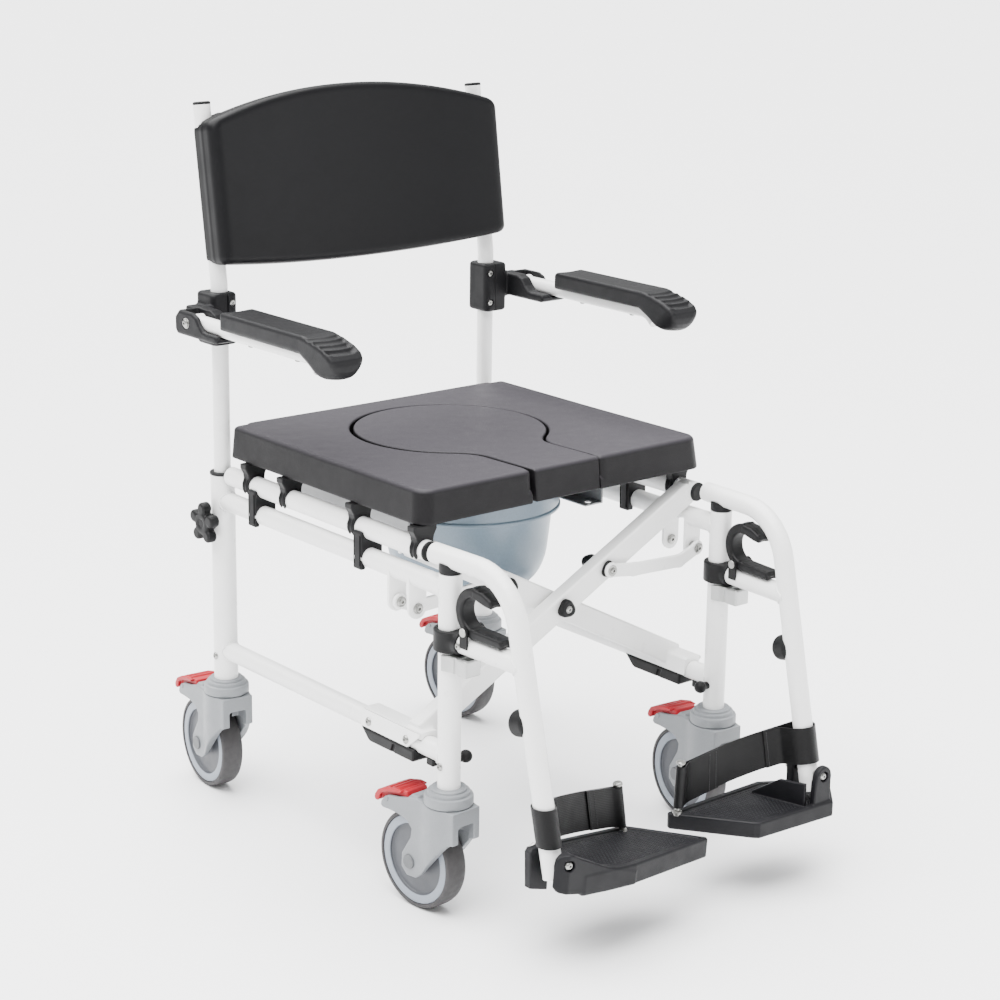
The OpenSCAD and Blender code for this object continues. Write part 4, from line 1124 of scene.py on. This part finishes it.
def hanger_axis(r):
    b, lean = 70.0, math.radians(13.1)
    pts = [(0, 28, 452), (0, -49, 452)]
    sweep = math.pi / 2 - lean
    pts += [(0, -49 - b * math.sin(sweep * i / 8), 452 - b + b * math.cos(sweep * i / 8)) for i in range(1, 9)]
    pts.append((0, LEG_P[0] - (LEG_P[1] - 114) * T_LEAN, 114))
    return union(*[capsule(a, c, r) for a, c in zip(pts[:-1], pts[1:])])


HANGER = hanger_axis(12.55)


def fittings(p):
    x, y, z = p.T
    collar = ext(disc(0, 0, 20), "z", 340.5, 367.5, 2.2)(p)
    # boss towards the bar
    boss = ext(disc(0, 354, 15.2), "y", -25, -10, 1.6)(p)
    collar = smin(collar, boss, 3.0)
    collar = np.maximum(collar, 14.08 - ln(x, y))
    collar = np.maximum(collar, -np.maximum(ln(x, z - 354) - 12.55, y + 16.9))
    flange = ext(disc(0, 0, 14), "z", 434.3, 446.3, 1.4)(p)
    stem = ext(disc(0, 0, 11.4), "z", 392, 436, 0.8)(p)
    flange = np.maximum(np.minimum(flange, stem), -HANGER(p))
    dy, dz = 0.974, -0.2267
    along_ = (y + 142) * dy + (z - 289) * dz
    side = ln(x, -(y + 142) * dz + (z - 289) * dy)
    a, b = side - 16 + 6, np.abs(along_ - 13) - 13 + 6
    stop = np.minimum(np.maximum(a, b), 0) + ln(np.maximum(a, 0), np.maximum(b, 0)) - 6
    cup = np.maximum(np.abs(side - 11.0) - 1.5, 21.5 - along_)
    stop = smax(stop, -cup, 0.8)
    stop = np.maximum(stop, -HANGER(p))
    # two ears on the bar that carry the pin of the lever
    leaf = np.minimum(ln(y + 39, z - 374) - 6.5, np.maximum(np.abs(y + 39) - 6.5, np.abs(z - 364) - 10))
    w = np.abs(np.abs(x) - 13) - 1.5
    ear = smax(np.maximum(leaf, w), 12.55 - ln(x, z - 354), 0.4)
    return np.minimum(np.minimum(np.minimum(collar, flange), stop), ear)


fit_one = moved(joined([net(fittings, (-20, -27, 340), (20, 20, 368), 1.0), net(fittings, (-14, -14, 392), (14, 14, 447), 1.0),
                        net(fittings, (-17, -150, 266), (17, -112, 306), 1.0),
                        net(fittings, (-14.5, -46, 354.5), (14.5, -32, 381), 0.9)]), POST)


def lever(p):
    x, y, z = p.T
    ring = np.maximum(np.abs(ln(y + 51, z - 398) - 25) - 6, -51 - y)
    up = rpoly([(-48, 429), (-48, 417), (-70, 412), (-80, 411), (-83, 416), (-80, 421), (-66, 427)], 1.5)(y, z)
    low = rpoly([(-48, 367), (-48, 379), (-98, 378), (-101, 373), (-98, 367)], 1.5)(y, z)
    d = smin(smin(ring, up, 3.0), low, 3.0) + 3.4
    h = np.abs(x) - 11 + 3.4
    d = np.minimum(np.maximum(d, h), 0) + ln(np.maximum(d, 0), np.maximum(h, 0)) - 3.4
    # shallow thumb groove round the outside
    return d + 0.7 * np.exp(-((x / 5.0) ** 2)) * np.clip((ln(y + 51, z - 398) - 27) / 4, 0, 1)


lever_one = moved(net(lever, (-11, -102, 366), (11, -19, 430), 1.0), POST)
pin = moved(lathe([(0, -16), (5.0, -16), (5.3, -15.6), (5.3, -14.7), (3, -14.6), (3, 14.6), (5.3, 14.7), (5.3, 15.6), (5.0, 16), (0, 16)], 32), POST @ at(0, -39, 374) @ along((1, 0, 0)))
bar_bolt = moved(screw(4.6, 2.2, 2.8, 2.5, 2.0, 0.6), POST @ at(-12.3, -28, 354) @ along((-1, 0, 0)))
bar_weld = []
for i in range(96):
    a = 2 * math.pi * i / 96
    x, z = 12.7 * math.cos(a), 12.7 * math.sin(a)
    zz = 354 + z
    cy = LEG_P[0] - (LEG_P[1] - zz) * T_LEAN
    bar_weld.append((x, cy + math.sqrt(max(12.5 ** 2 - x * x, 0)) / math.cos(math.radians(13.1)) + 0.4, zz))
bar_weld = moved(tube_path(bar_weld, 1.7, 8, True, [1.7 * (1 + 0.16 * math.sin(i * 1.75)) for i in range(96)]), POST)

# footplates
FP_Z = 138.0
HX = 212.0
RIGHT_PLAN = [(-190, -450), (-186, -452), (-108, -452), (-100, -450.8), (29, -431), (31, -426), (-32, -351), (-38, -348), (-186, -346), (-190, -350)]
LEFT_PLAN = [(36, -353), (38, -348), (196, -346), (254, -380), (256, -418), (226, -450), (104, -443), (98, -438)]


def plate(plan, z0, z1, ears):
    """Slab with a raised border and hinge ears; ears are drawn on the right side."""
    outer = ext(rpoly(plan, 1.6), "z", z0, z1, 2.6)
    inner = ext(poly(inset(plan, 8.5)), "z", z1 - 1.7, z1 + 40, 0)
    if ears == "right":
        front = [(-HX - 13, z0 + 14), (-HX - 8, z0 + 8), (-HX + 24, z0 + 3), (-HX + 60, z0), (-HX + 105, z0), (-HX + 105, z0 + 16), (-HX + 56, FP_Z - 11), (-HX + 9, FP_Z + 9.3), (-HX - 13, FP_Z)]
        # the rear ear hangs below the plate and leans outwards
        rear = []
        for dx, dz in ((-16, -42), (10, -50), (12, -18), (7, 2), (2, 6.5), (-13, 6.5), (-17, 3)):
            c, n = math.cos(math.radians(5)), math.sin(math.radians(5))
            rear.append((-HX + dx * c - dz * n, FP_Z + dx * n + dz * c))
        y0, r1, r2 = -452, 13, 7
    else:
        front = [(-HX - 13, z1 - 8), (-HX + 17, z1 - 8), (-HX + 15, FP_Z - 6), (-HX + 12, FP_Z + 5), (-HX - 13, FP_Z)]
        rear = [(-HX - 10, z1 - 8), (-HX + 10, z1 - 8), (-HX + 10, FP_Z), (-HX - 10, FP_Z)]
        y0, r1, r2 = -446, 13, 10
    f_in, r_in = rpoly(front, 1.2), rpoly(rear, 1.2)
    wall = poly([(0, z1 - 3), (74, z1 - 3), (74, z1 + 1), (36, FP_Z - 8), (0, FP_Z - 6)])
    ct, st = math.cos(math.radians(16)), math.sin(math.radians(16))

    def f(p):
        x, y, z = p.T
        d = smax(outer(p), -inner(p), 1.4)
        m = p if ears == "right" else p * np.array([-1.0, 1, 1])
        mx = m[:, 0]
        fe = smin(f_in(mx, z), ln(mx + HX, z - FP_Z) - r1, 2.0)
        re = smin(r_in(mx, z), ln(mx + HX, z - FP_Z) - r2, 2.0)
        fe = ext(lambda u, v: fe, "y", y0, -437, 2.2)(p)
        re = ext(lambda u, v: re, "y", -401.5, -390, 2.0)(p)
        if ears == "right":
            # outer front corner cut at an angle
            fe = smax(fe, (-(mx + 213.5) - (y + 452)) * 0.7071, 1.2)
        d = smin(smin(d, fe, 3.0), re, 3.0)
        if ears == "left":
            # inner wall of the hinge housing, falling to the rear
            u, w = (mx + 188) * ct - (y + 437.5) * st, (mx + 188) * st + (y + 437.5) * ct
            d = smin(d, smax(wall(w, z), np.abs(u) - 2.5, 1.2), 2.0)
        # pocket of the hinge bolt
        bore = np.maximum(ln(mx + HX, z - FP_Z) - 6.6, y - y0 - 4.5)
        return smax(d, -bore, 0.8)

    return f


def studs(plan, z):
    """Rows of small round anti-slip studs on the sunk top of a plate."""
    g = poly(inset(plan, 12.5))
    pts = []
    a = np.array(plan)
    row = 0
    y = a[:, 1].min()
    while y < a[:, 1].max():
        x = a[:, 0].min() + (2.5 if row % 2 else 0)
        while x < a[:, 0].max():
            pts.append((x, y))
            x += 5.0
        y += 4.3
        row += 1
    pts = np.array(pts)
    pts = pts[g(pts[:, 0], pts[:, 1]) < 0]
    dome = [(1.35, -0.4), (1.3, 0.25), (0.85, 0.62)]
    v, q = [], []
    for cx, cy in pts:
        b = len(v)
        for r, h in dome:
            for k in range(8):
                t = 2 * math.pi * (k + 0.5) / 8
                v.append((cx + r * math.cos(t), cy + r * math.sin(t), z + h))
        for i in range(2):
            for k in range(8):
                k1 = (k + 1) % 8
                q.append([b + i * 8 + k, b + i * 8 + k1, b + (i + 1) * 8 + k1, b + (i + 1) * 8 + k])
        q.append([b + 16 + k for k in range(8)])
        q.append([b + k for k in range(8)][::-1])
    return np.array(v), q, None


DROOP = at(-HX, 0, FP_Z, ("Y", 5)) @ at(HX, 0, -FP_Z)
right_plate = moved(net(plate(RIGHT_PLAN, 97, 122, "right"), (-231, -452, 86), (31, -346, 152), 1.25), DROOP)
right_studs = moved(studs(RIGHT_PLAN, 120.3), DROOP)
left_plate = net(plate(LEFT_PLAN, 83, 104, "left"), (36, -452, 83), (256, -346, 152), 1.25)
left_studs = studs(LEFT_PLAN, 102.3)


def strap_pin(p, lean, y0):
    """Hinge bolt and strap pin, drawn on the right side."""
    parts = [moved(screw(4.9, 4.0, 3.2, 3.9, -y0 - 392.0, 0.5), at(-HX, y0 + 4.4, FP_Z) @ along((0, -1, 0)))]
    nut = lathe([(0, 0), (6.2, 0), (6.6, 0.6), (6.6, 4.4), (6.0, 5.0), (3.4, 5.0), (3.4, 5.6), (0, 5.9)], 36, lambda i, a, r: r / math.cos((a + math.pi / 6) % (math.pi / 3) - math.pi / 6) * 0.93 if r > 4 else r)
    parts.append(moved(nut, at(-HX, -389.9, FP_Z) @ along((0, 1, 0))))
    base = at(p[0], p[1], 104, ("Y", -lean))
    body = lathe([(0, -12), (3.4, -12), (3.4, 63), (5.2, 63), (6, 63.8), (6, 65.6), (5.2, 66.8), (3.2, 67.4), (0, 67.5)], 36)
    parts.append(moved(body, base))
    foot = lathe([(3.5, -3), (6.2, -3), (6.2, 1.6), (5.6, 2.6), (3.5, 2.8)], 32)
    parts.append(moved(foot, base))
    return joined(parts)


# heel straps: one length of webbing, looped round the leg and round the pin
def strap(pin_xy, lean, bow):
    tl = math.tan(math.radians(lean))
    ns, nt = 300, 16
    grid = np.zeros((ns, nt + 1, 3))
    for j in range(nt + 1):
        t = j / nt
        zl, zp = 151.5 + 44.5 * t, 111 + 53 * t
        L = leg_at(zl)[:2]
        Q = np.array([pin_xy[0] - (zp - 104) * tl, pin_xy[1]])
        D = np.linalg.norm(Q - L)
        d = (Q - L) / D
        n = np.array([-d[1], d[0]])
        rl, rp = 14.4, 5.0

        def main(u):
            s = u / D
            return rl + (rp - rl) * s + bow * math.sin(math.pi * min(max(s, 0), 1)) ** 1.5

        pts = [(u, main(u) - 2.2 - 0.02 * (48 - u)) for u in (48, 44, 40, 36, 32)]
        pts += [(27, main(27) - 4.6), (22, 3.5), (17.5, -3.0), (13.6, -7.4)]
        pts += [((rl + (0.7 if -170 < a < -80 else 0.0)) * math.cos(math.radians(a)), (rl + (0.7 if -170 < a < -80 else 0.0)) * math.sin(math.radians(a))) for a in np.arange(-42, -266, -8)]
        pts += [(u, main(u)) for u in np.linspace(5, D - 1.5, 46)]
        pts += [(D + rp * math.cos(math.radians(a)), rp * math.sin(math.radians(a))) for a in np.arange(84, -100, -10)]
        pts += [(D - 5, -4.4), (D - 11, main(D - 11) - 4.0), (D - 17, main(D - 17) - 2.5)]
        end = 0.66 * D
        pts += [(u, main(u) - 2.15) for u in np.linspace(D - 22, end, 10)]
        pts = np.array(pts)
        seg = np.concatenate([[0], np.cumsum(np.linalg.norm(np.diff(pts, axis=0), axis=1))])
        sv = np.linspace(0, seg[-1], ns)
        uu, ww = np.interp(sv, seg, pts[:, 0]), np.interp(sv, seg, pts[:, 1])
        ker = np.array([1, 4, 6, 4, 1]) / 16.0
        for _ in range(2):
            uu[2:-2], ww[2:-2] = np.convolve(uu, ker, "valid"), np.convolve(ww, ker, "valid")
        frac = np.clip(uu / D, 0, 1)
        grid[:, j, 0] = L[0] + uu * d[0] + ww * n[0]
        grid[:, j, 1] = L[1] + uu * d[1] + ww * n[1]
        grid[:, j, 2] = zl + (zp - zl) * frac
    # normals across the band, its flat length and width, and its two faces 0.85 either side of the path
    gs = np.gradient(grid, axis=0)
    gt = np.gradient(grid, axis=1)
    nrm = np.cross(gs, gt)
    nrm /= np.linalg.norm(nrm, axis=2)[:, :, None]
    length = np.linalg.norm(np.diff(grid, axis=0), axis=2).sum(0).mean()
    width = np.linalg.norm(np.diff(grid, axis=1), axis=2).sum(1).mean()
    h = 0.85
    a, b = grid + nrm * h, grid - nrm * h
    v = np.concatenate([a.reshape(-1, 3), b.reshape(-1, 3)])
    m = nt + 1
    q, off = [], ns * m
    for i in range(ns - 1):
        for j in range(nt):
            k = i * m + j
            q.append([k, k + m, k + m + 1, k + 1])
            q.append([off + k, off + k + 1, off + k + m + 1, off + k + m])
    for i in range(ns - 1):
        k = i * m
        q.append([k, off + k, off + k + m, k + m])
        k = i * m + nt
        q.append([k, k + m, off + k + m, off + k])
    for j in range(nt):
        q.append([j, j + 1, off + j + 1, off + j])
        k = (ns - 1) * m + j
        q.append([k, off + k, off + k + 1, k + 1])
    uv = np.zeros((2 * ns * m, 2))
    uv[:, 0] = np.tile(np.repeat(np.linspace(0, length / 1000, ns), m), 2)
    uv[:, 1] = np.tile(np.tile(np.linspace(0, width / 1000, m), ns), 2)
    vol = 0.0
    for f in q[::7]:
        vol += np.dot(v[f[0]], np.cross(v[f[1]], v[f[2]]))
    # rows of thread at both sewn ends, on the outer face
    thread = []
    for at_s in (ns - 4, ns - 12, 3):
        for j in range(1, 2 * nt - 2, 2):
            t0, t1 = j / 2, j / 2 + 0.62
            ends = []
            for tt in (t0, t1):
                j0 = min(int(tt), nt - 1)
                fr = tt - j0
                pnt = grid[at_s, j0] * (1 - fr) + grid[at_s, j0 + 1] * fr
                nn = nrm[at_s, j0]
                ends.append((pnt, nn))
            for sgn in (1, -1):
                mid = [(e[0] + sgn * e[1] * (h + 0.15)) for e in ends]
                line = [mid[0] - sgn * ends[0][1] * 0.3, mid[0] * 0.75 + mid[1] * 0.25 + sgn * ends[0][1] * 0.2, mid[0] * 0.25 + mid[1] * 0.75 + sgn * ends[0][1] * 0.2, mid[1] - sgn * ends[1][1] * 0.3]
                thread.append(tube_path(line, 0.42, 6))
    return (v, q, None), uv, length, width, joined(thread), grid


PIN = {"right": ((-46, -358), 9.0), "left": ((-46, -357), 3.0)}
for side in ("right", "left"):
    def hand(s, side=side):
        return s if side == "right" else mirrored(s)

    foot, plate_body = side + "_footrest", side + "_plate"
    put(side + "_hanger_fitting_mouldings", hand(fit_one), foot, BLACK, side + "_hanger_fittings")
    put(side + "_lever_pin", hand(joined([pin, bar_bolt])), foot, STEEL)
    put(side + "_hanger_weld", hand(bar_weld), foot, WHITE, sharp=60)
    put(side + "_release_lever_moulding", hand(lever_one), side + "_lever", BLACK, side + "_release_lever")
    put(side + "_footplate_moulding", right_plate if side == "right" else left_plate, plate_body, PLATE, side + "_footplate")
    put(side + "_footplate_studs", right_studs if side == "right" else left_studs, plate_body, PLATE, sharp=50)
    xy, lean = PIN[side]
    put(side + "_footplate_bolts", hand(strap_pin(xy, lean, -452.0 if side == "right" else -446.0)), plate_body, STEEL, side + "_footplate_pins")
    s, uv, length, width, thread, grid = strap(xy, lean, 5.0 if side == "right" else 7.0)
    if side == "left":
        s, thread = mirrored(s), mirrored(thread)
    o = put(side + "_heel_strap_webbing", s, foot, WEB, side + "_heel_strap", sharp=60, rides=False)
    lay = o.data.uv_layers.new(name="UVMap")
    idx = np.zeros(len(o.data.loops), np.int32)
    o.data.loops.foreach_get("vertex_index", idx)
    lay.data.foreach_set("uv", uv[idx].astype(np.float32).ravel())
    th = put(side + "_heel_strap_stitches", thread, foot, THREAD, sharp=60, rides=False)
    sx = 1 if side == "right" else -1
    a, b = leg_at(171), np.array([xy[0], xy[1], 138.0])
    start, end = a + (b - a) * 0.30, a + (b - a) * 0.86
    start, end = [((sx * c[0]) / 1000, (c[1] + YO) / 1000, c[2] / 1000) for c in (start, end)]
    for piece in (o, th):
        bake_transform(piece)
    print("strap", side, "flat", round(width, 1), "x", round(length, 1), "mm")

# ======================================================================
# casters, drawn about the swivel axis, trailing towards +Y
# ======================================================================
ARM = [(-31, 146.4), (-31, 106), (-23, 104), (-13, 94), (24, 52), (34, 44), (50, 43), (60, 52), (59, 70), (44, 94), (42, 106), (50, 114), (66, 117.5),
       (84, 118), (94, 117.5), (98, 120), (97, 126), (91, 133), (84, 136.5), (64, 140), (48, 144), (34, 146.4)]
HUMP = [(20, 130), (20, 146), (32, 146.4), (34, 149.5), (44, 149.5), (49, 145), (50, 138), (46, 131)]
ARM2, HUMP3 = rpoly(ARM, 1.2), ext(rpoly(HUMP, 1.2), "x", -20, 20, 1.5)


def fork(p):
    x, y, z = p.T
    round_ = ln(x, y)
    # one shell: round at the head, running flush into the two flat arms
    outer = smin(round_ - 29, np.abs(x) - 22.5, 9.0)
    d = smax(ARM2(y, z), outer, 2.4)
    head = ext(disc(0, 0, 29), "z", 112, 146.5, 1.8)(p)
    d = smin(d, head, 1.0)
    keep = np.maximum(round_ - 25.2, 112 - z)
    front = np.where(y < 0, round_ - 25.0, -50.0)
    d = smax(d, -np.maximum(np.maximum(np.abs(x) - 17.4, -keep), front), 1.0)
    d = smin(d, HUMP3(p), 2.5)
    d = smax(d, -np.maximum(ln(y - 45, z - 62.5) - 66.5, np.abs(x) - 17.4), 1.0)
    # window in the front of the head
    d = smax(d, -rbox((-12.5, -60, 70), (12.5, -9, 127), 3.0)(p), 1.2)
    d = np.maximum(d, 8.1 - round_)
    axle = ext(disc(45, 62.5, 5), "x", -22.5, 22.5, 0)(p)
    rod = ext(disc(86, 132, 2.9), "x", -23.6, 23.6, 0.4)(p)
    return np.minimum(np.minimum(d, axle), rod)


fork_one = net(fork, (-29, -29, 43), (29, 111, 150), 1.2)
cap_one = lathe([(0, 0), (8.6, 0), (9, 0.4), (9, 1.8), (8.2, 2.6), (0, 2.75)], 44)
cap_one = joined([moved(cap_one, at(22.35, 45, 62.5) @ along((1, 0, 0))), moved(cap_one, at(-22.35, 45, 62.5) @ along((-1, 0, 0)))])
PED1 = rpoly([(53, 140), (56, 148), (72, 149), (92, 144), (104, 137), (107, 131), (103, 127), (84, 124.5), (70, 126.5), (60, 129)], 1.6)
PED2 = rpoly([(60, 148.2), (72, 149), (92, 144), (104, 138), (109, 131), (110, 127), (108.4, 123.4), (104.5, 123.3), (101.5, 125.9), (99.5, 133), (96, 136), (84, 140.5), (64, 144.5)], 0.8)


def pedal(p):
    x, y, z = p.T
    a = ext(PED1, "x", -16.8, 16.8, 2.2)(p)
    b = ext(PED2, "x", -22, 22, 1.6)(p)
    d = smin(a, b, 1.5)
    # ribs along the tread
    for i in range(4):
        yy = 66 + 9 * i
        zz = 150.2 - 0.0041 * (yy - 60) ** 2 - 0.06 * (yy - 60)
        c = np.maximum(ln(y - yy, z - zz) - 2.9, np.abs(x) - 18)
        d = smax(d, -c, 0.6)
    return np.maximum(d, 3.08 - ln(y - 86, z - 132))


pedal_one = net(pedal, (-22, 53, 122), (22, 110.1, 149.5), 0.95)


def wheel():
    """Hub about local z: light ring outside, darker sunk disc, boss, the same on both faces."""
    half = [(5.05, 14.0), (15.6, 14.0), (16.6, 13.6), (17.0, 12.8), (17.4, 10.2), (18.4, 9.2), (40, 9.0), (43.4, 9.3), (44.6, 10.4), (45.0, 12.8), (45.5, 13.7), (46.5, 14.0), (54.0, 14.0), (55.4, 13.6), (55.95, 12.6)]
    prof = half + [(r, -z) for r, z in half[::-1]]
    v, q, _ = lathe(prof, 96)
    return v, q, None


def tyre():
    half = [(56.02, 14.2), (56.3, 14.8), (58.6, 15.0), (60.2, 14.4), (61.2, 13.0), (61.85, 11.0), (62.25, 8.6), (62.45, 5.6), (62.5, 2.0)]
    prof = half + [(r, -z) for r, z in half[::-1]]
    return lathe(prof, 120)


TO_AXLE = at(0, 45, 62.5) @ along((1, 0, 0))
hub_one, tyre_one = moved(wheel(), TO_AXLE), moved(tyre(), TO_AXLE)
hv = np.asarray(hub_one[0])
hub_r = [np.mean([math.hypot(hv[i][1] - 45, hv[i][2] - 62.5) for i in f]) for f in hub_one[1]]
hub_which = [0 if r > 44.9 else 1 for r in hub_r]
for key, nm, sx, y, turn in (("fr", "front_right", -1, YF, 4.5), ("fl", "front_left", 1, YF, -5), ("rr", "rear_right", -1, YR, -5), ("rl", "rear_left", 1, YR, 5)):
    m = at(sx * X, y, 0, ("Z", turn))
    put(nm + "_fork_moulding", moved(fork_one, m), key + "_caster", FORK, nm + "_fork")
    put(nm + "_axle_caps", moved(cap_one, m), key + "_caster", FORKCAP)
    put(nm + "_wheel_disc", moved(hub_one, m), key + "_wheel", [RIM, HUBD], nm + "_hub", which=hub_which)
    put(nm + "_tyre_ring", moved(tyre_one, m), key + "_wheel", TYRE, nm + "_tyre")
    put(nm + "_pedal_moulding", moved(pedal_one, m), key + "_pedal", RED, nm + "_pedal")

# ======================================================================
# floor, light and camera
# ======================================================================
def floor():
    me = bpy.data.meshes.new("floor")
    n, r = 64, 60.0
    v = [(0.0, 0.0, 0.0)] + [(r * math.cos(2 * math.pi * i / n), r * math.sin(2 * math.pi * i / n), 0.0) for i in range(n)]
    me.from_pydata(v, [], [(0, 1 + i, 1 + (i + 1) % n) for i in range(n)])
    o = bpy.data.objects.new("floor", me)
    bpy.context.scene.collection.objects.link(o)
    n = Nodes("pale_floor")
    c = (0.93, 0.93, 0.935)
    n.link(n.ramp(n.noise(1.2, 3.0), [(0.3, tone(c, 0.99)), (0.7, c)]), n.b.inputs["Base Color"])
    n.b.inputs["Roughness"].default_value = 0.55
    n.b.inputs["Specular IOR Level"].default_value = 0.25
    me.materials.append(n.m)


floor()

world = bpy.data.worlds.new("studio")
bpy.context.scene.world = world
world.use_nodes = True
bg = world.node_tree.nodes["Background"]
bg.inputs["Color"].default_value = (1.0, 1.0, 1.0, 1.0)
bg.inputs["Strength"].default_value = 0.75


def area(name, loc, target, size, power, color=(1, 1, 1)):
    d = bpy.data.lights.new(name, "AREA")
    d.shape, d.size, d.energy, d.color = "DISK", size, power, color
    o = bpy.data.objects.new(name, d)
    bpy.context.scene.collection.objects.link(o)
    o.location = loc
    o.rotation_mode = "QUATERNION"
    o.rotation_quaternion = (Vector(target) - Vector(loc)).to_track_quat("-Z", "Y")


area("key", (-2.0, -1.6, 3.8), (0, 0, 0.5), 2.8, 150)
area("fill", (2.8, -2.6, 1.8), (0, 0, 0.5), 2.4, 30)
sky = bpy.data.lights.new("overhead", "SUN")
sky.energy, sky.angle = 13.0, math.radians(80)
so = bpy.data.objects.new("overhead", sky)
bpy.context.scene.collection.objects.link(so)
so.rotation_euler = (math.radians(-14), math.radians(-6), 0)

cam = bpy.data.cameras.new("camera")
cam.lens, cam.sensor_width, cam.sensor_fit = 84.96, 36.0, "AUTO"
cam.clip_start, cam.clip_end = 0.05, 200
co = bpy.data.objects.new("camera", cam)
bpy.context.scene.collection.objects.link(co)
az, el = math.radians(-39.79), math.radians(15.76)
back = Vector((math.sin(az) * math.cos(el), -math.cos(az) * math.cos(el), math.sin(el)))
co.location = Vector((0.0527, YO / 1000, 0.4212)) + back * 3.084
co.rotation_mode = "QUATERNION"
co.rotation_quaternion = (-back).to_track_quat("-Z", "Y") @ Matrix.Rotation(math.radians(0.83), 3, "Z").to_quaternion()
bpy.context.scene.camera = co
